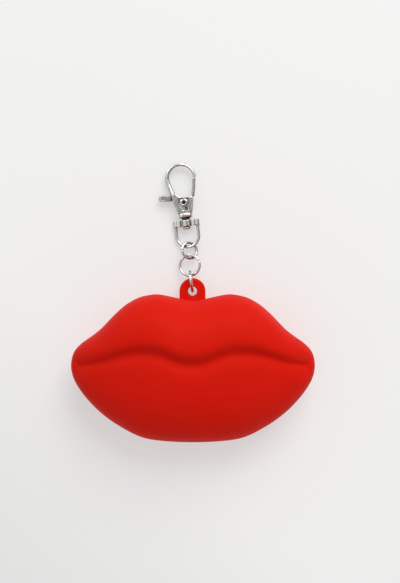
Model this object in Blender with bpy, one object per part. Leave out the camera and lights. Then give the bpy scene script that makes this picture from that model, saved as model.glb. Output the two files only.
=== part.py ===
"""Silicone coin purse in the shape of a pair of lips, with a key chain.

The purse lies on its flat back. X runs along the mouth, Y up the face, Z out of the front.
The origin is the centre of the flat back. A zipper in a recess of the back closes the pocket.
Lengths are in metres, angles in degrees.
"""

import math

import bpy
import bmesh
from mathutils import Matrix, Vector

# General clearances
SEAT_GAP = 0.00025
CUT_OVERRUN = 0.002
JOIN_SINK = 0.0003

# Purse body
PURSE_WIDTH = 0.108
UPPER_LIP_HEIGHT = 0.0314
LOWER_LIP_HEIGHT = 0.0341
CROWN_LEVEL = 0.0362
LOWER_LIP_SETBACK = 0.0025
WIDEST_LEVEL = 0.014
BACK_INSET = 0.0075
CORNER_LINE_Y = 0.00135
SIDE_WALL = 0.0026
BACK_WALL = 0.0042
POCKET_FLOOR_INSET = 0.003
MOUTH_CORNER = 0.0045
MOUTH_RISE = 0.0060
CREASE_DEPTH = 0.0012
UPPER_CREASE_REACH = 0.0030
LOWER_CREASE_REACH = 0.0035
LIP_COLUMNS = 72
SIDE_STEPS = 5
CROWN_POWER = 2.8
TAPER_POWER = 2.6
CORNER_POWER = 8
CORNER_RISE_SHARE = 0.13
CORNER_SOFTNESS_SHARE = 0.06
CORNER_NARROWING_SHARE = 0.55
CREASE_POWER = 6

# Outline of each lip: share of the half width, share of the lip's height
UPPER_OUTLINE_SHARES = (
    (1.0, 0.0), (0.976, 0.185), (0.922, 0.296), (0.831, 0.411), (0.750, 0.522), (0.622, 0.748),
    (0.544, 0.860), (0.445, 0.953), (0.362, 0.989), (0.300, 1.0), (0.235, 0.986), (0.108, 0.938),
    (0.0, 0.903),
)
LOWER_OUTLINE_SHARES = (
    (1.0, 0.0), (0.983, 0.152), (0.930, 0.310), (0.852, 0.466), (0.750, 0.624),
    (0.614, 0.779), (0.429, 0.930), (0.276, 0.979), (0.0, 1.0),
)
# Line between the lips: share of the mouth's half width, share of the mouth's rise
MOUTH_LINE_SHARES = (
    (0.0, 0.22), (0.10, 0.30), (0.20, 0.62), (0.32, 0.95), (0.44, 1.0), (0.57, 0.89),
    (0.69, 0.60), (0.82, 0.30), (1.0, 0.06),
)
# Rings of the lip surface, from the mouth line out to the widest line
RING_SHARES = (0.045, 0.09, 0.15, 0.23, 0.38, 0.55, 0.71, 0.83, 0.92, 0.975, 1.0)
POCKET_RING_SHARES = (0.12, 0.28, 0.50, 0.72, 0.88, 0.97, 1.0)

# Hanging tab
TAB_X = -0.0003
TAB_STAND = 0.00444
TAB_RADIUS = 0.0059
TAB_THICKNESS = 0.0035
TAB_BOTTOM = 0.0023
TAB_EDGE = 0.0011
TAB_TAIL = 0.0122
TAB_HOLE_RADIUS = 0.00205

# Zipper recess, slot and tapes
ZIPPER_HEIGHT_SHARE = 0.2707
SLOT_LENGTH_SHARE = 0.6204
SLOT_HALF_WIDTH = 0.0047
RECESS_END_MARGIN = 0.0045
RECESS_SIDE_MARGIN = 0.0028
RECESS_DEPTH = 0.0026
TAPE_END_LAP = 0.0015
TAPE_THICKNESS = 0.0005
TAPE_LAP_SHARE = 0.2516
TAPE_CORNER_RISE_SHARE = 0.2166
TAPE_CORNER_RUN_SHARE = 0.1943

# Toothed rows
TOOTH_PITCH = 0.0017
TOOTH_WIDTH = 0.0006
TOOTH_LAP = 0.0005
TOOTH_ROOT = 0.0008
ROW_EDGE = 0.0019
ROW_THICKNESS = 0.0016
ROW_TIP_CHAMFER = 0.00015

# Slider, its crown and the pull
SLIDER_LENGTH = 0.008
SLIDER_PLATE = 0.0008
SLIDER_FLANGE = 0.0005
CHANNEL_GAP = 0.0003
FLANGE_TAPE_GAP = 0.0003
DIVIDER_HALF_WIDTH = 0.0007
DIVIDER_LENGTH = 0.0024
PARTING_LENGTH = 0.0051
CROWN_HALF_WIDTH = 0.0008
CROWN_LENGTH = 0.0046
CROWN_POST = 0.0008
CROWN_BAR = 0.00085
CROWN_OPENING = 0.00145
CROWN_SETBACK = 0.0011
PULL_LENGTH = 0.0110
PULL_THICKNESS = 0.0009
PULL_HALF_WIDTH = 0.0021
PULL_ARM = 0.0008
PULL_EYE_LENGTH = 0.0024
PULL_SIDE_GAP = 0.0003
PULL_DROOP = 5.0
STOP_LENGTH = 0.0012

# Jump rings
RING_WIRE = 0.0012
TAB_RING_DIAMETER = 0.0103
LARGE_RING_DIAMETER = 0.0106
SMALL_RING_DIAMETER = 0.0086
RING_SEAM = 0.0003
RING_STEPS = 32
WIRE_SIDES = 8
TAB_RING_SLACK = 0.00005
TAB_RING_YAW = 8.0
LARGE_LINK_GAP = 0.00035
LARGE_LINK_ANGLE = -30.0
LARGE_RING_TURNS = (-5.0, -15.6, 3.5)
SMALL_LINK_GAP = 0.0004
SMALL_LINK_ANGLE = 172.0
SMALL_RING_TURNS = (-8.0, 28.0, 0.5)
SHACKLE_LINK_GAP = 0.0006
SHACKLE_SHIFT = 0.0004

# Swivel shackle
CHAIN_LEAN = 6.5
SHACKLE_WIDTH = 0.0119
SHACKLE_WIRE = 0.0015
SHACKLE_ARM = 0.0056
SHACKLE_ROLL = -13.0
BARREL_RADIUS = 0.0026
BARREL_FLATNESS_SHARE = 0.84
BARREL_LENGTH = 0.0031
CROSSBAR_DEPTH = 0.0026
CROSSBAR_HEIGHT = 0.0021
EAR_RADIUS = 0.0010
EAR_LENGTH = 0.0034
BARREL_EDGE = 0.0003
SWIVEL_HOLE_RADIUS = 0.0013
SWIVEL_GAP = 0.0003
ROUND_SIDES = 24

# Clasp frame
CLASP_THICKNESS = 0.0046
POST_RADIUS = 0.00105
POST_HEAD_RADIUS = 0.0019
POST_HEAD_LENGTH = 0.0011
NECK_RADIUS = 0.0017
NECK_LENGTH = 0.0010
COLLAR_RADIUS = 0.0031
COLLAR_LENGTH = 0.0014
COLLAR_FLATNESS_SHARE = 0.71
WEDGE_FOOT = 0.0043
WEDGE_TOP = 0.0120
WEDGE_HALF_WIDTH = 0.0055
WEDGE_EDGE = 0.00035
MARK_DEPTH = 0.0006
HOOK_CENTRE = 0.0207
HOOK_SHIFT = 0.0002
HOOK_WIDTH = 0.0144
HOOK_WIRE = 0.0018
HOOK_WIRE_DEPTH = 0.0024
HOOK_TIP_GAP = 0.0005
HOOK_STEPS = 16
# Wedge outline: share of the half width, share of the way from the foot to the top
WEDGE_OUTLINE_SHARES = (
    (-0.58, 0.0), (0.54, 0.0), (0.62, 0.10), (0.71, 0.40), (0.81, 0.86), (0.77, 1.0),
    (-0.20, 1.01), (-0.42, 1.10), (-0.60, 1.26), (-1.0, 1.18), (-0.90, 0.72), (-0.74, 0.34),
)
# Sunk panel round the rivet, in the same shares
PANEL_OUTLINE_SHARES = (
    (-0.17, 0.19), (0.36, 0.19), (0.40, 0.52), (0.43, 0.92), (-0.38, 0.94), (-0.46, 0.68),
    (-0.35, 0.43),
)
# Small slot at the foot of the panel, in the same shares
MARK_OUTLINE_SHARES = ((0.04, 0.21), (0.24, 0.21), (0.24, 0.40), (0.04, 0.40))
# Left arm of the hook: share of the loop's radius, share of the way from pivot to loop centre,
# width and depth as shares of the wire's
HOOK_ARM_SHARES = (
    (-0.60, 0.10, 1.30, 1.75), (-0.66, 0.26, 1.32, 1.72), (-0.72, 0.40, 1.30, 1.55),
    (-0.84, 0.60, 1.24, 1.20), (-0.94, 0.80, 1.20, 1.04),
)
HOOK_LEFT_WIDTH_SHARE = 1.16
HOOK_TOP_WIDTH_SHARE = 0.86

# Gate, rivet and spring
PIVOT_SHARE = 0.663
GATE_THICKNESS = 0.0015
GATE_GAP = 0.00025
GATE_HUB_RADIUS = 0.00185
GATE_OPEN_ANGLE = 28.0
GATE_WIRE = 0.0015
GATE_ELBOW_X = 0.0044
GATE_ELBOW_RISE = 0.0030
GATE_TIP_X = 0.0060
LEVER_ANGLE = 155.0
LEVER_LENGTH = 0.0075
LEVER_HALF_HEIGHT = 0.0009
LEVER_PAD_TURN = 19.0
LEVER_PAD_LENGTH = 0.0058
LEVER_PAD_START = 0.0061
LEVER_PAD_RADIUS = 0.0013
LEVER_PAD_THICKNESS = 0.0026
LEVER_EDGE = 0.0003
RIVET_RADIUS = 0.0010
RIVET_BORE_RADIUS = 0.0007
RIVET_HEAD_RADIUS = 0.00185
RIVET_HEAD_DEPTH = 0.0004
RUNNING_CLEARANCE = 0.0001
SPRING_X = -0.0026
SPRING_DROP = 0.0002
SPRING_LENGTH = 0.0034
SPRING_RADIUS = 0.00048
SPRING_WIRE = 0.00028
SPRING_TURNS = 5
SPRING_STEPS = 8

# Colours: red, green, blue
SILICONE_RED = (0.62, 0.012, 0.010)
TAPE_RED = (0.45, 0.010, 0.010)
COIL_RED = (0.40, 0.008, 0.008)
NICKEL = (0.62, 0.61, 0.58)
SPRING_STEEL = (0.50, 0.50, 0.50)

# Places that follow from the sizes above
MOUTH_HALF_WIDTH = PURSE_WIDTH / 2 - MOUTH_CORNER
SLOT_HALF_LENGTH = PURSE_WIDTH / 2 * SLOT_LENGTH_SHARE
RECESS_HALF_LENGTH = SLOT_HALF_LENGTH + RECESS_END_MARGIN
RECESS_HALF_WIDTH = SLOT_HALF_WIDTH + RECESS_SIDE_MARGIN
TAPE_HALF_LENGTH = SLOT_HALF_LENGTH + TAPE_END_LAP
TAPE_CORNER_RUN = TAPE_HALF_LENGTH * TAPE_CORNER_RUN_SHARE
TAPE_CORNER_RISE = UPPER_LIP_HEIGHT * TAPE_CORNER_RISE_SHARE
TAPE_REACH = SLOT_HALF_WIDTH + UPPER_LIP_HEIGHT * TAPE_LAP_SHARE
ZIPPER_Y = CORNER_LINE_Y + UPPER_LIP_HEIGHT * ZIPPER_HEIGHT_SHARE
TAPE_MIDDLE = BACK_WALL + SEAT_GAP + TAPE_THICKNESS / 2
ROW_SPREAD = DIVIDER_HALF_WIDTH + SEAT_GAP + TOOTH_LAP
CHANNEL_HALF_HEIGHT = ROW_THICKNESS / 2 + CHANNEL_GAP
SLIDER_HALF_HEIGHT = CHANNEL_HALF_HEIGHT + SLIDER_PLATE
SLOT_END_BULGE = (SLOT_HALF_WIDTH ** 2 - (ROW_EDGE + ROW_SPREAD) ** 2) ** 0.5
STOP_OUTER_X = SLOT_HALF_LENGTH - SLOT_HALF_WIDTH + SLOT_END_BULGE - SEAT_GAP
SLIDER_REST_X = -STOP_OUTER_X + STOP_LENGTH + SEAT_GAP + SLIDER_LENGTH / 2
PULL_HINGE_X = SLIDER_REST_X - CROWN_SETBACK / 2
CROWN_FACE = TAPE_MIDDLE - SLIDER_HALF_HEIGHT
PULL_HINGE_Z = CROWN_FACE - CROWN_OPENING / 2
TAB_REACH = UPPER_LIP_HEIGHT * UPPER_OUTLINE_SHARES[-1][1] + TAB_STAND
TAB_HOLE = Vector((TAB_X, CORNER_LINE_Y + TAB_REACH, TAB_BOTTOM + TAB_THICKNESS / 2))
TAB_RING_RADIUS = (TAB_RING_DIAMETER - RING_WIRE) / 2
LARGE_RING_RADIUS = (LARGE_RING_DIAMETER - RING_WIRE) / 2
SMALL_RING_RADIUS = (SMALL_RING_DIAMETER - RING_WIRE) / 2
SHACKLE_RADIUS = (SHACKLE_WIDTH - SHACKLE_WIRE) / 2
HOOK_RADIUS = (HOOK_WIDTH - HOOK_WIRE) / 2
NECK_FOOT = BARREL_LENGTH / 2 + SWIVEL_GAP
COLLAR_FOOT = NECK_FOOT + NECK_LENGTH
PIVOT_REACH = WEDGE_FOOT + (WEDGE_TOP - WEDGE_FOOT) * PIVOT_SHARE
SPRING_TOP = PIVOT_REACH - SPRING_DROP
SPRING_FOOT = SPRING_TOP - SPRING_LENGTH
CHAIN_LEVEL = CLASP_THICKNESS / 2


def clear_scene():
    """Remove every object, so that the script can run again in an open file."""
    for obj in list(bpy.data.objects):
        bpy.data.objects.remove(obj, do_unlink=True)


def make_material(name, colour, roughness, metallic):
    """Return a Principled material of its own for one piece."""
    material = bpy.data.materials.new(name)
    material.use_nodes = True
    shader = material.node_tree.nodes["Principled BSDF"]
    shader.inputs["Base Color"].default_value = (*colour, 1.0)
    shader.inputs["Roughness"].default_value = roughness
    shader.inputs["Metallic"].default_value = metallic
    material.diffuse_color = (*colour, 1.0)
    return material


def add_mesh(name, vertices, faces):
    """Add an object with a closed mesh whose faces point out."""
    mesh = bpy.data.meshes.new(name)
    mesh.from_pydata([tuple(v) for v in vertices], [], faces)
    shape = bmesh.new()
    shape.from_mesh(mesh)
    bmesh.ops.recalc_face_normals(shape, faces=shape.faces)
    shape.to_mesh(mesh)
    shape.free()
    obj = bpy.data.objects.new(name, mesh)
    bpy.context.scene.collection.objects.link(obj)
    return obj


def finish(obj, colour, roughness, metallic, sharp_angle=40.0):
    """Give a piece its material and its shading."""
    obj.data.materials.append(make_material(obj.name, colour, roughness, metallic))
    obj.data.shade_smooth()
    obj.data.set_sharp_from_angle(angle=math.radians(sharp_angle))
    return obj


def combine(target, tool, operation):
    """Join a tool to the target or cut it away, and hide the tool."""
    tool.display_type = "WIRE"
    tool.hide_render = True
    tool.parent = target
    modifier = target.modifiers.new(tool.name, "BOOLEAN")
    modifier.operation = operation
    modifier.solver = "EXACT"
    modifier.object = tool


def add_bevel(obj, width, segments):
    """Round the sharp edges of an extruded piece."""
    modifier = obj.modifiers.new("edge", "BEVEL")
    modifier.width = width
    modifier.segments = segments
    modifier.limit_method = "ANGLE"
    modifier.angle_limit = math.radians(50.0)


def add_prism(name, outline, low, high):
    """Extrude an outline in X and Y between two levels."""
    count = len(outline)
    vertices = [(x, y, low) for x, y in outline] + [(x, y, high) for x, y in outline]
    faces = [tuple(range(count)), tuple(range(count, 2 * count))]
    for i in range(count):
        j = (i + 1) % count
        faces.append((i, j, count + j, count + i))
    return add_mesh(name, vertices, faces)


def add_turned(name, profile, sides, axis="Z", hollow=False):
    """Turn a profile of radius and height, with flat ends or closed on itself round a bore."""
    vertices = []
    for radius, height in profile:
        for i in range(sides):
            angle = 2 * math.pi * (i + 0.5) / sides
            vertices.append(Vector((radius * math.cos(angle), radius * math.sin(angle), height)))
    count = len(profile)
    faces = []
    for row in range(count if hollow else count - 1):
        low = row * sides
        high = (row + 1) % count * sides
        for i in range(sides):
            j = (i + 1) % sides
            faces.append((low + i, low + j, high + j, high + i))
    if not hollow:
        faces.append(tuple(range(sides)))
        faces.append(tuple(range((count - 1) * sides, count * sides)))
    if axis == "Y":
        vertices = [Vector((v.x, v.z, -v.y)) for v in vertices]
    return add_mesh(name, vertices, faces)


def add_swept(name, path, halves, sides, up):
    """Sweep an oval section along an open path, with its half width and half depth at each point."""
    vertices = []
    for i, point in enumerate(path):
        before = path[max(i - 1, 0)]
        after = path[min(i + 1, len(path) - 1)]
        forward = (after - before).normalized()
        across = forward.cross(up).normalized()
        lift = across.cross(forward)
        for k in range(sides):
            angle = 2 * math.pi * (k + 0.5) / sides
            side = across * halves[i][0] * math.cos(angle)
            vertices.append(point + side + lift * halves[i][1] * math.sin(angle))
    faces = [tuple(range(sides)), tuple(range(len(vertices) - sides, len(vertices)))]
    for i in range(len(path) - 1):
        for k in range(sides):
            j = (k + 1) % sides
            low = i * sides
            high = low + sides
            faces.append((low + k, low + j, high + j, high + k))
    return add_mesh(name, vertices, faces)


def arc_points(centre, radius, start, end, steps):
    """Return points in X and Y along an arc, both ends included."""
    points = []
    for i in range(steps + 1):
        angle = math.radians(start + (end - start) * i / steps)
        points.append((centre[0] + radius * math.cos(angle), centre[1] + radius * math.sin(angle)))
    return points


def smooth_value(pairs, at):
    """Read a smooth curve through (place, value) pairs, level at its last pair."""
    places = [p for p, v in pairs]
    values = [v for p, v in pairs]
    slopes = []
    for i in range(len(pairs)):
        low = max(i - 1, 0)
        high = min(i + 1, len(pairs) - 1)
        slopes.append((values[high] - values[low]) / (places[high] - places[low]))
    slopes[-1] = 0
    i = 0
    while i < len(pairs) - 2 and at > places[i + 1]:
        i += 1
    span = places[i + 1] - places[i]
    t = min(max((at - places[i]) / span, 0), 1)
    rise = values[i + 1] - values[i]
    curve = values[i] + rise * t * t * (3 - 2 * t)
    bend = slopes[i] * (1 - t) - slopes[i + 1] * t
    return curve + span * t * (1 - t) * bend


def outline_pairs(shares):
    """Turn an outline's shares into (angle, height share) pairs, from the corner to the middle."""
    return [(math.acos(x), y) for x, y in shares]


def mouth_share(side_share):
    """Return the mouth line's height share at a share of its half width."""
    pairs = [(1 - x, y) for x, y in reversed(MOUTH_LINE_SHARES)]
    return smooth_value(pairs, 1 - abs(side_share))


def lip_grid(wall, ring_shares, floor_level, floor_inset, columns):
    """Return the vertices and faces of the lips' closed shape, set in by a wall."""
    half_width = PURSE_WIDTH / 2 - wall
    mouth_half = MOUTH_HALF_WIDTH - wall
    upper = outline_pairs(UPPER_OUTLINE_SHARES)
    lower = outline_pairs(LOWER_OUTLINE_SHARES)
    upper_rise = CROWN_LEVEL - WIDEST_LEVEL - wall
    half = columns // 2

    def column_frame(k):
        angle = 2 * math.pi * k / columns
        share = math.cos(angle)
        fold = math.acos(abs(share))
        is_upper = math.sin(angle) > 0
        table = upper if is_upper else lower
        height = (UPPER_LIP_HEIGHT - wall) if is_upper else -(LOWER_LIP_HEIGHT - wall)
        outer = Vector((share * half_width, height * smooth_value(table, fold)))
        inner = Vector((share * mouth_half, MOUTH_RISE * mouth_share(share)))
        swell = 1 - abs(share) ** TAPER_POWER
        soft = (swell ** 2 + CORNER_SOFTNESS_SHARE ** 2) ** 0.3
        taper = CORNER_RISE_SHARE + (1 - CORNER_RISE_SHARE) * soft
        return outer, inner, is_upper, abs(share), taper

    def level(ring_share, length, is_upper, share, taper):
        lower_rise = upper_rise - LOWER_LIP_SETBACK * (1 - share ** CORNER_POWER)
        rise = upper_rise if is_upper else lower_rise
        reach = UPPER_CREASE_REACH if is_upper else LOWER_CREASE_REACH
        reach *= 1 - CORNER_NARROWING_SHARE * share ** 3
        fade = math.exp(-((ring_share * length / reach) ** 2))
        crown = rise * taper * (1 - ring_share ** CROWN_POWER) ** 0.5
        crease = CREASE_DEPTH * (1 - share ** CREASE_POWER)
        return WIDEST_LEVEL + crown + fade * ((lower_rise - rise) * taper - crease)

    vertices = []
    for k in range(half + 1):
        outer, inner, is_upper, share, taper = column_frame(k)
        height = level(0, 0, is_upper, share, taper)
        vertices.append((inner.x, CORNER_LINE_Y + inner.y, height))
    for ring_share in ring_shares:
        for k in range(columns):
            outer, inner, is_upper, share, taper = column_frame(k)
            point = inner.lerp(outer, ring_share)
            height = level(ring_share, (outer - inner).length, is_upper, share, taper)
            vertices.append((point.x, CORNER_LINE_Y + point.y, height))
    for step in range(1, SIDE_STEPS + 1):
        angle = math.pi / 2 * step / SIDE_STEPS
        inset = floor_inset * (1 - math.cos(angle))
        height = WIDEST_LEVEL + (floor_level - WIDEST_LEVEL) * math.sin(angle)
        for k in range(columns):
            outer, inner, is_upper, share, taper = column_frame(k)
            side_height = UPPER_LIP_HEIGHT if is_upper else LOWER_LIP_HEIGHT
            x = outer.x * (1 - inset / half_width)
            y = outer.y * (1 - inset / (side_height - wall))
            vertices.append((x, CORNER_LINE_Y + y, height))

    faces = []
    first = half + 1
    for k in range(columns):
        j = (k + 1) % columns
        mouth_k = min(k, columns - k)
        mouth_j = min(j, columns - j)
        faces.append((mouth_k, mouth_j, first + j, first + k))
    rows = len(ring_shares) + SIDE_STEPS
    for row in range(rows - 1):
        low = first + row * columns
        high = low + columns
        for k in range(columns):
            j = (k + 1) % columns
            faces.append((low + k, low + j, high + j, high + k))
    last = first + (rows - 1) * columns
    faces.append(tuple(range(last, last + columns)))
    return vertices, faces


def stadium(half_length, half_width, centre_y, steps):
    """Return the outline of a long hole with round ends along X."""
    reach = half_length - half_width
    right = arc_points((reach, centre_y), half_width, -90, 90, steps)
    left = arc_points((-reach, centre_y), half_width, 90, 270, steps)
    return right + left


def add_tab():
    """Add the hanging tab, from inside the upper lip to its round end."""
    outline = arc_points((TAB_HOLE.x, TAB_HOLE.y), TAB_RADIUS, 0, 180, 16)
    outline.append((TAB_HOLE.x - TAB_RADIUS, TAB_HOLE.y - TAB_TAIL))
    outline.append((TAB_HOLE.x + TAB_RADIUS, TAB_HOLE.y - TAB_TAIL))
    tab = add_prism("tab_shape", outline, TAB_BOTTOM, TAB_BOTTOM + TAB_THICKNESS)
    add_bevel(tab, TAB_EDGE, 2)
    return tab


def build_purse_body():
    """Model the hollow lips with the tab, the zipper recess and the zipper slot."""
    vertices, faces = lip_grid(0, RING_SHARES, 0, BACK_INSET, LIP_COLUMNS)
    body = add_mesh("purse_body", vertices, faces)
    combine(body, add_tab(), "UNION")
    vertices, faces = lip_grid(
        SIDE_WALL, POCKET_RING_SHARES, BACK_WALL, POCKET_FLOOR_INSET, LIP_COLUMNS * 2 // 3
    )
    combine(body, add_mesh("pocket_shape", vertices, faces), "DIFFERENCE")
    recess = stadium(RECESS_HALF_LENGTH, RECESS_HALF_WIDTH, ZIPPER_Y, 12)
    combine(body, add_prism("recess_shape", recess, -CUT_OVERRUN, RECESS_DEPTH), "DIFFERENCE")
    slot = stadium(SLOT_HALF_LENGTH, SLOT_HALF_WIDTH, ZIPPER_Y, 10)
    slot_top = BACK_WALL + CUT_OVERRUN
    combine(body, add_prism("slot_shape", slot, RECESS_DEPTH / 2, slot_top), "DIFFERENCE")
    drill = arc_points((TAB_HOLE.x, TAB_HOLE.y), TAB_HOLE_RADIUS, 0, 360, ROUND_SIDES)[:-1]
    hole_top = TAB_BOTTOM + TAB_THICKNESS + CUT_OVERRUN
    hole = add_prism("tab_hole_shape", drill, TAB_BOTTOM - CUT_OVERRUN, hole_top)
    combine(body, hole, "DIFFERENCE")
    return finish(body, SILICONE_RED, 0.42, 0.0, 60.0)


def row_spread(x):
    """Return how far a row stands off the middle where the divider parts the rows."""
    front = row_start() + DIVIDER_LENGTH / 2
    back = row_start() + PARTING_LENGTH
    t = min(max((back - x) / (back - front), 0), 1)
    return ROW_SPREAD * t * t * (3 - 2 * t)


def row_start():
    """Return where both rows begin, just inside the top stops."""
    return SLIDER_REST_X - SLIDER_LENGTH / 2


def row_end():
    """Return where both rows end, just inside the bottom stop."""
    return STOP_OUTER_X - STOP_LENGTH - SEAT_GAP


def build_tape(name, side):
    """Model one tape, which lies on the pocket's floor along its edge of the slot."""
    spread_steps = 6
    inner = [(-TAPE_HALF_LENGTH, ROW_EDGE + ROW_SPREAD + SEAT_GAP)]
    for i in range(spread_steps + 1):
        x = row_start() + PARTING_LENGTH * i / spread_steps
        inner.append((x, ROW_EDGE + row_spread(x) + SEAT_GAP))
    inner.append((TAPE_HALF_LENGTH, ROW_EDGE + SEAT_GAP))
    edge = [
        (TAPE_HALF_LENGTH, TAPE_REACH - TAPE_CORNER_RISE),
        (TAPE_HALF_LENGTH - TAPE_CORNER_RUN, TAPE_REACH),
        (TAPE_CORNER_RUN - TAPE_HALF_LENGTH, TAPE_REACH),
        (-TAPE_HALF_LENGTH, TAPE_REACH - TAPE_CORNER_RISE),
    ]
    outline = [(x, ZIPPER_Y + side * y) for x, y in inner + edge]
    low = TAPE_MIDDLE - TAPE_THICKNESS / 2
    tape = add_prism(name, outline, low, low + TAPE_THICKNESS)
    return finish(tape, TAPE_RED, 0.85, 0.0)


def build_row(name, side, first_tooth):
    """Model one toothed row: a spine with teeth that reach past the middle."""
    teeth = []
    x = row_start() + first_tooth
    while x + TOOTH_WIDTH / 2 < row_end():
        teeth.append(x)
        x += TOOTH_PITCH
    inner = [(row_start(), TOOTH_ROOT + row_spread(row_start()))]
    for x in teeth:
        spread = row_spread(x)
        half = TOOTH_WIDTH / 2
        inner.append((x - half, TOOTH_ROOT + spread))
        inner.append((x - half + ROW_TIP_CHAMFER, spread - TOOTH_LAP))
        inner.append((x + half - ROW_TIP_CHAMFER, spread - TOOTH_LAP))
        inner.append((x + half, TOOTH_ROOT + spread))
    inner.append((row_end(), TOOTH_ROOT))
    outer = [(row_end(), ROW_EDGE)]
    for x in reversed(teeth[:6]):
        outer.append((x, ROW_EDGE + row_spread(x)))
    outer.append((row_start(), ROW_EDGE + row_spread(row_start())))
    outline = [(x, ZIPPER_Y + side * y) for x, y in inner + outer]
    low = TAPE_MIDDLE - ROW_THICKNESS / 2
    row = add_prism(name, outline, low, low + ROW_THICKNESS)
    return finish(row, COIL_RED, 0.5, 0.0, 30.0)


def slider_half_width(channel):
    """Return the slider's half outline, front shoulder first, around a channel's half width."""
    front = SLIDER_LENGTH / 2
    shoulder = ROW_EDGE + ROW_SPREAD + channel
    tail = ROW_EDGE + channel
    return [
        (-front, shoulder - SLIDER_FLANGE / 2),
        (-front + SLIDER_FLANGE, shoulder),
        (-front + DIVIDER_LENGTH, shoulder),
        (front - DIVIDER_LENGTH / 2, tail),
        (front, tail),
    ]


def mirrored(half_outline):
    """Close a half outline with its mirror image across X."""
    return half_outline + [(x, -y) for x, y in reversed(half_outline)]


def build_slider():
    """Model the slider: two plates with flanges, the divider between them and the crown."""
    body = add_prism(
        "zipper_slider",
        mirrored(slider_half_width(CHANNEL_GAP + SLIDER_FLANGE)),
        -SLIDER_HALF_HEIGHT,
        SLIDER_HALF_HEIGHT,
    )
    body.location = (SLIDER_REST_X, ZIPPER_Y, TAPE_MIDDLE)
    half = slider_half_width(CHANNEL_GAP)
    overrun = CUT_OVERRUN
    half[0] = (half[0][0] - overrun, half[1][1])
    half[-1] = (half[-1][0] + overrun, half[-1][1])
    channel = add_prism("channel_shape", mirrored(half), -CHANNEL_HALF_HEIGHT, CHANNEL_HALF_HEIGHT)
    combine(body, channel, "DIFFERENCE")
    tape_half = TAPE_THICKNESS / 2 + FLANGE_TAPE_GAP
    reach = SLIDER_LENGTH
    around = [(-reach, -reach), (reach, -reach), (reach, reach), (-reach, reach)]
    combine(body, add_prism("tape_gap_shape", around, -tape_half, tape_half), "DIFFERENCE")
    front = -SLIDER_LENGTH / 2
    divider_half = [
        (front + JOIN_SINK, DIVIDER_HALF_WIDTH * 0.7),
        (front + DIVIDER_LENGTH / 2, DIVIDER_HALF_WIDTH),
        (front + DIVIDER_LENGTH, JOIN_SINK / 2),
    ]
    tall = CHANNEL_HALF_HEIGHT + SLIDER_PLATE / 2
    combine(body, add_prism("divider_shape", mirrored(divider_half), -tall, tall), "UNION")
    combine(body, add_crown(), "UNION")
    return finish(body, NICKEL, 0.25, 1.0, 30.0)


def add_crown():
    """Add the arch on the slider's outer plate that carries the pull."""
    half = CROWN_LENGTH / 2
    face = SLIDER_HALF_HEIGHT
    top = face + CROWN_OPENING + CROWN_BAR
    outer = [
        (-half, face - JOIN_SINK),
        (-half, top - CROWN_BAR),
        (-half + CROWN_POST, top),
        (half - CROWN_POST, top),
        (half, top - CROWN_BAR),
        (half, face - JOIN_SINK),
    ]
    inner = [
        (half - CROWN_POST, face - JOIN_SINK),
        (half - CROWN_POST, face + CROWN_OPENING),
        (-half + CROWN_POST, face + CROWN_OPENING),
        (-half + CROWN_POST, face - JOIN_SINK),
    ]
    shift = PULL_HINGE_X - SLIDER_REST_X
    outline = [(x + shift, y) for x, y in outer + inner]
    crown = add_prism("crown_shape", outline, -CROWN_HALF_WIDTH, CROWN_HALF_WIDTH)
    crown.data.transform(Matrix.Rotation(math.radians(-90), 4, "X"))
    return crown


def build_pull():
    """Model the pull: an eye around the crown's bar and a flat tongue."""
    bar = PULL_THICKNESS / 2
    window_half = CROWN_HALF_WIDTH + PULL_SIDE_GAP
    eye_half = window_half + PULL_ARM
    tip = PULL_LENGTH - PULL_HALF_WIDTH
    half = [(-bar, eye_half - bar / 2), (0, eye_half), (PULL_EYE_LENGTH, eye_half)]
    half.append((tip, PULL_HALF_WIDTH))
    half += [(x, y) for x, y in arc_points((tip, 0), PULL_HALF_WIDTH, 75, 15, 4)]
    pull = add_prism("zipper_pull", mirrored(half), -bar, bar)
    add_bevel(pull, bar / 3, 1)
    window = [(bar, window_half), (bar + PULL_EYE_LENGTH, window_half)]
    cutter = add_prism("pull_window_shape", mirrored(window), -2 * bar, 2 * bar)
    combine(pull, cutter, "DIFFERENCE")
    pull.location = (PULL_HINGE_X, ZIPPER_Y, PULL_HINGE_Z)
    pull.rotation_euler = (0, math.radians(PULL_DROOP), 0)
    return finish(pull, NICKEL, 0.25, 1.0, 30.0)


def build_stop(name, start_x, low_y, high_y):
    """Model one stop, clamped just past the end of a row."""
    x_pair = (start_x, start_x + STOP_LENGTH)
    outline = [(x_pair[0], low_y), (x_pair[1], low_y), (x_pair[1], high_y), (x_pair[0], high_y)]
    low = TAPE_MIDDLE - CHANNEL_HALF_HEIGHT
    stop = add_prism(name, outline, low, low + 2 * CHANNEL_HALF_HEIGHT)
    add_bevel(stop, SEAT_GAP, 1)
    return finish(stop, NICKEL, 0.3, 1.0)


def build_stops():
    """Model both top stops and the bottom stop."""
    near = ROW_SPREAD - TOOTH_LAP
    far = ROW_SPREAD + ROW_EDGE
    build_stop("zipper_top_stop_upper", -STOP_OUTER_X, ZIPPER_Y + near, ZIPPER_Y + far)
    build_stop("zipper_top_stop_lower", -STOP_OUTER_X, ZIPPER_Y - far, ZIPPER_Y - near)
    start = STOP_OUTER_X - STOP_LENGTH
    build_stop("zipper_bottom_stop", start, ZIPPER_Y - ROW_EDGE, ZIPPER_Y + ROW_EDGE)


def ring_turn(turns):
    """Return the rotation of a link from its pitch, roll and yaw."""
    pitch, roll, yaw = (math.radians(a) for a in turns)
    turn = Matrix.Rotation(yaw, 4, "Z") @ Matrix.Rotation(pitch, 4, "X")
    return turn @ Matrix.Rotation(roll, 4, "Y")


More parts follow.
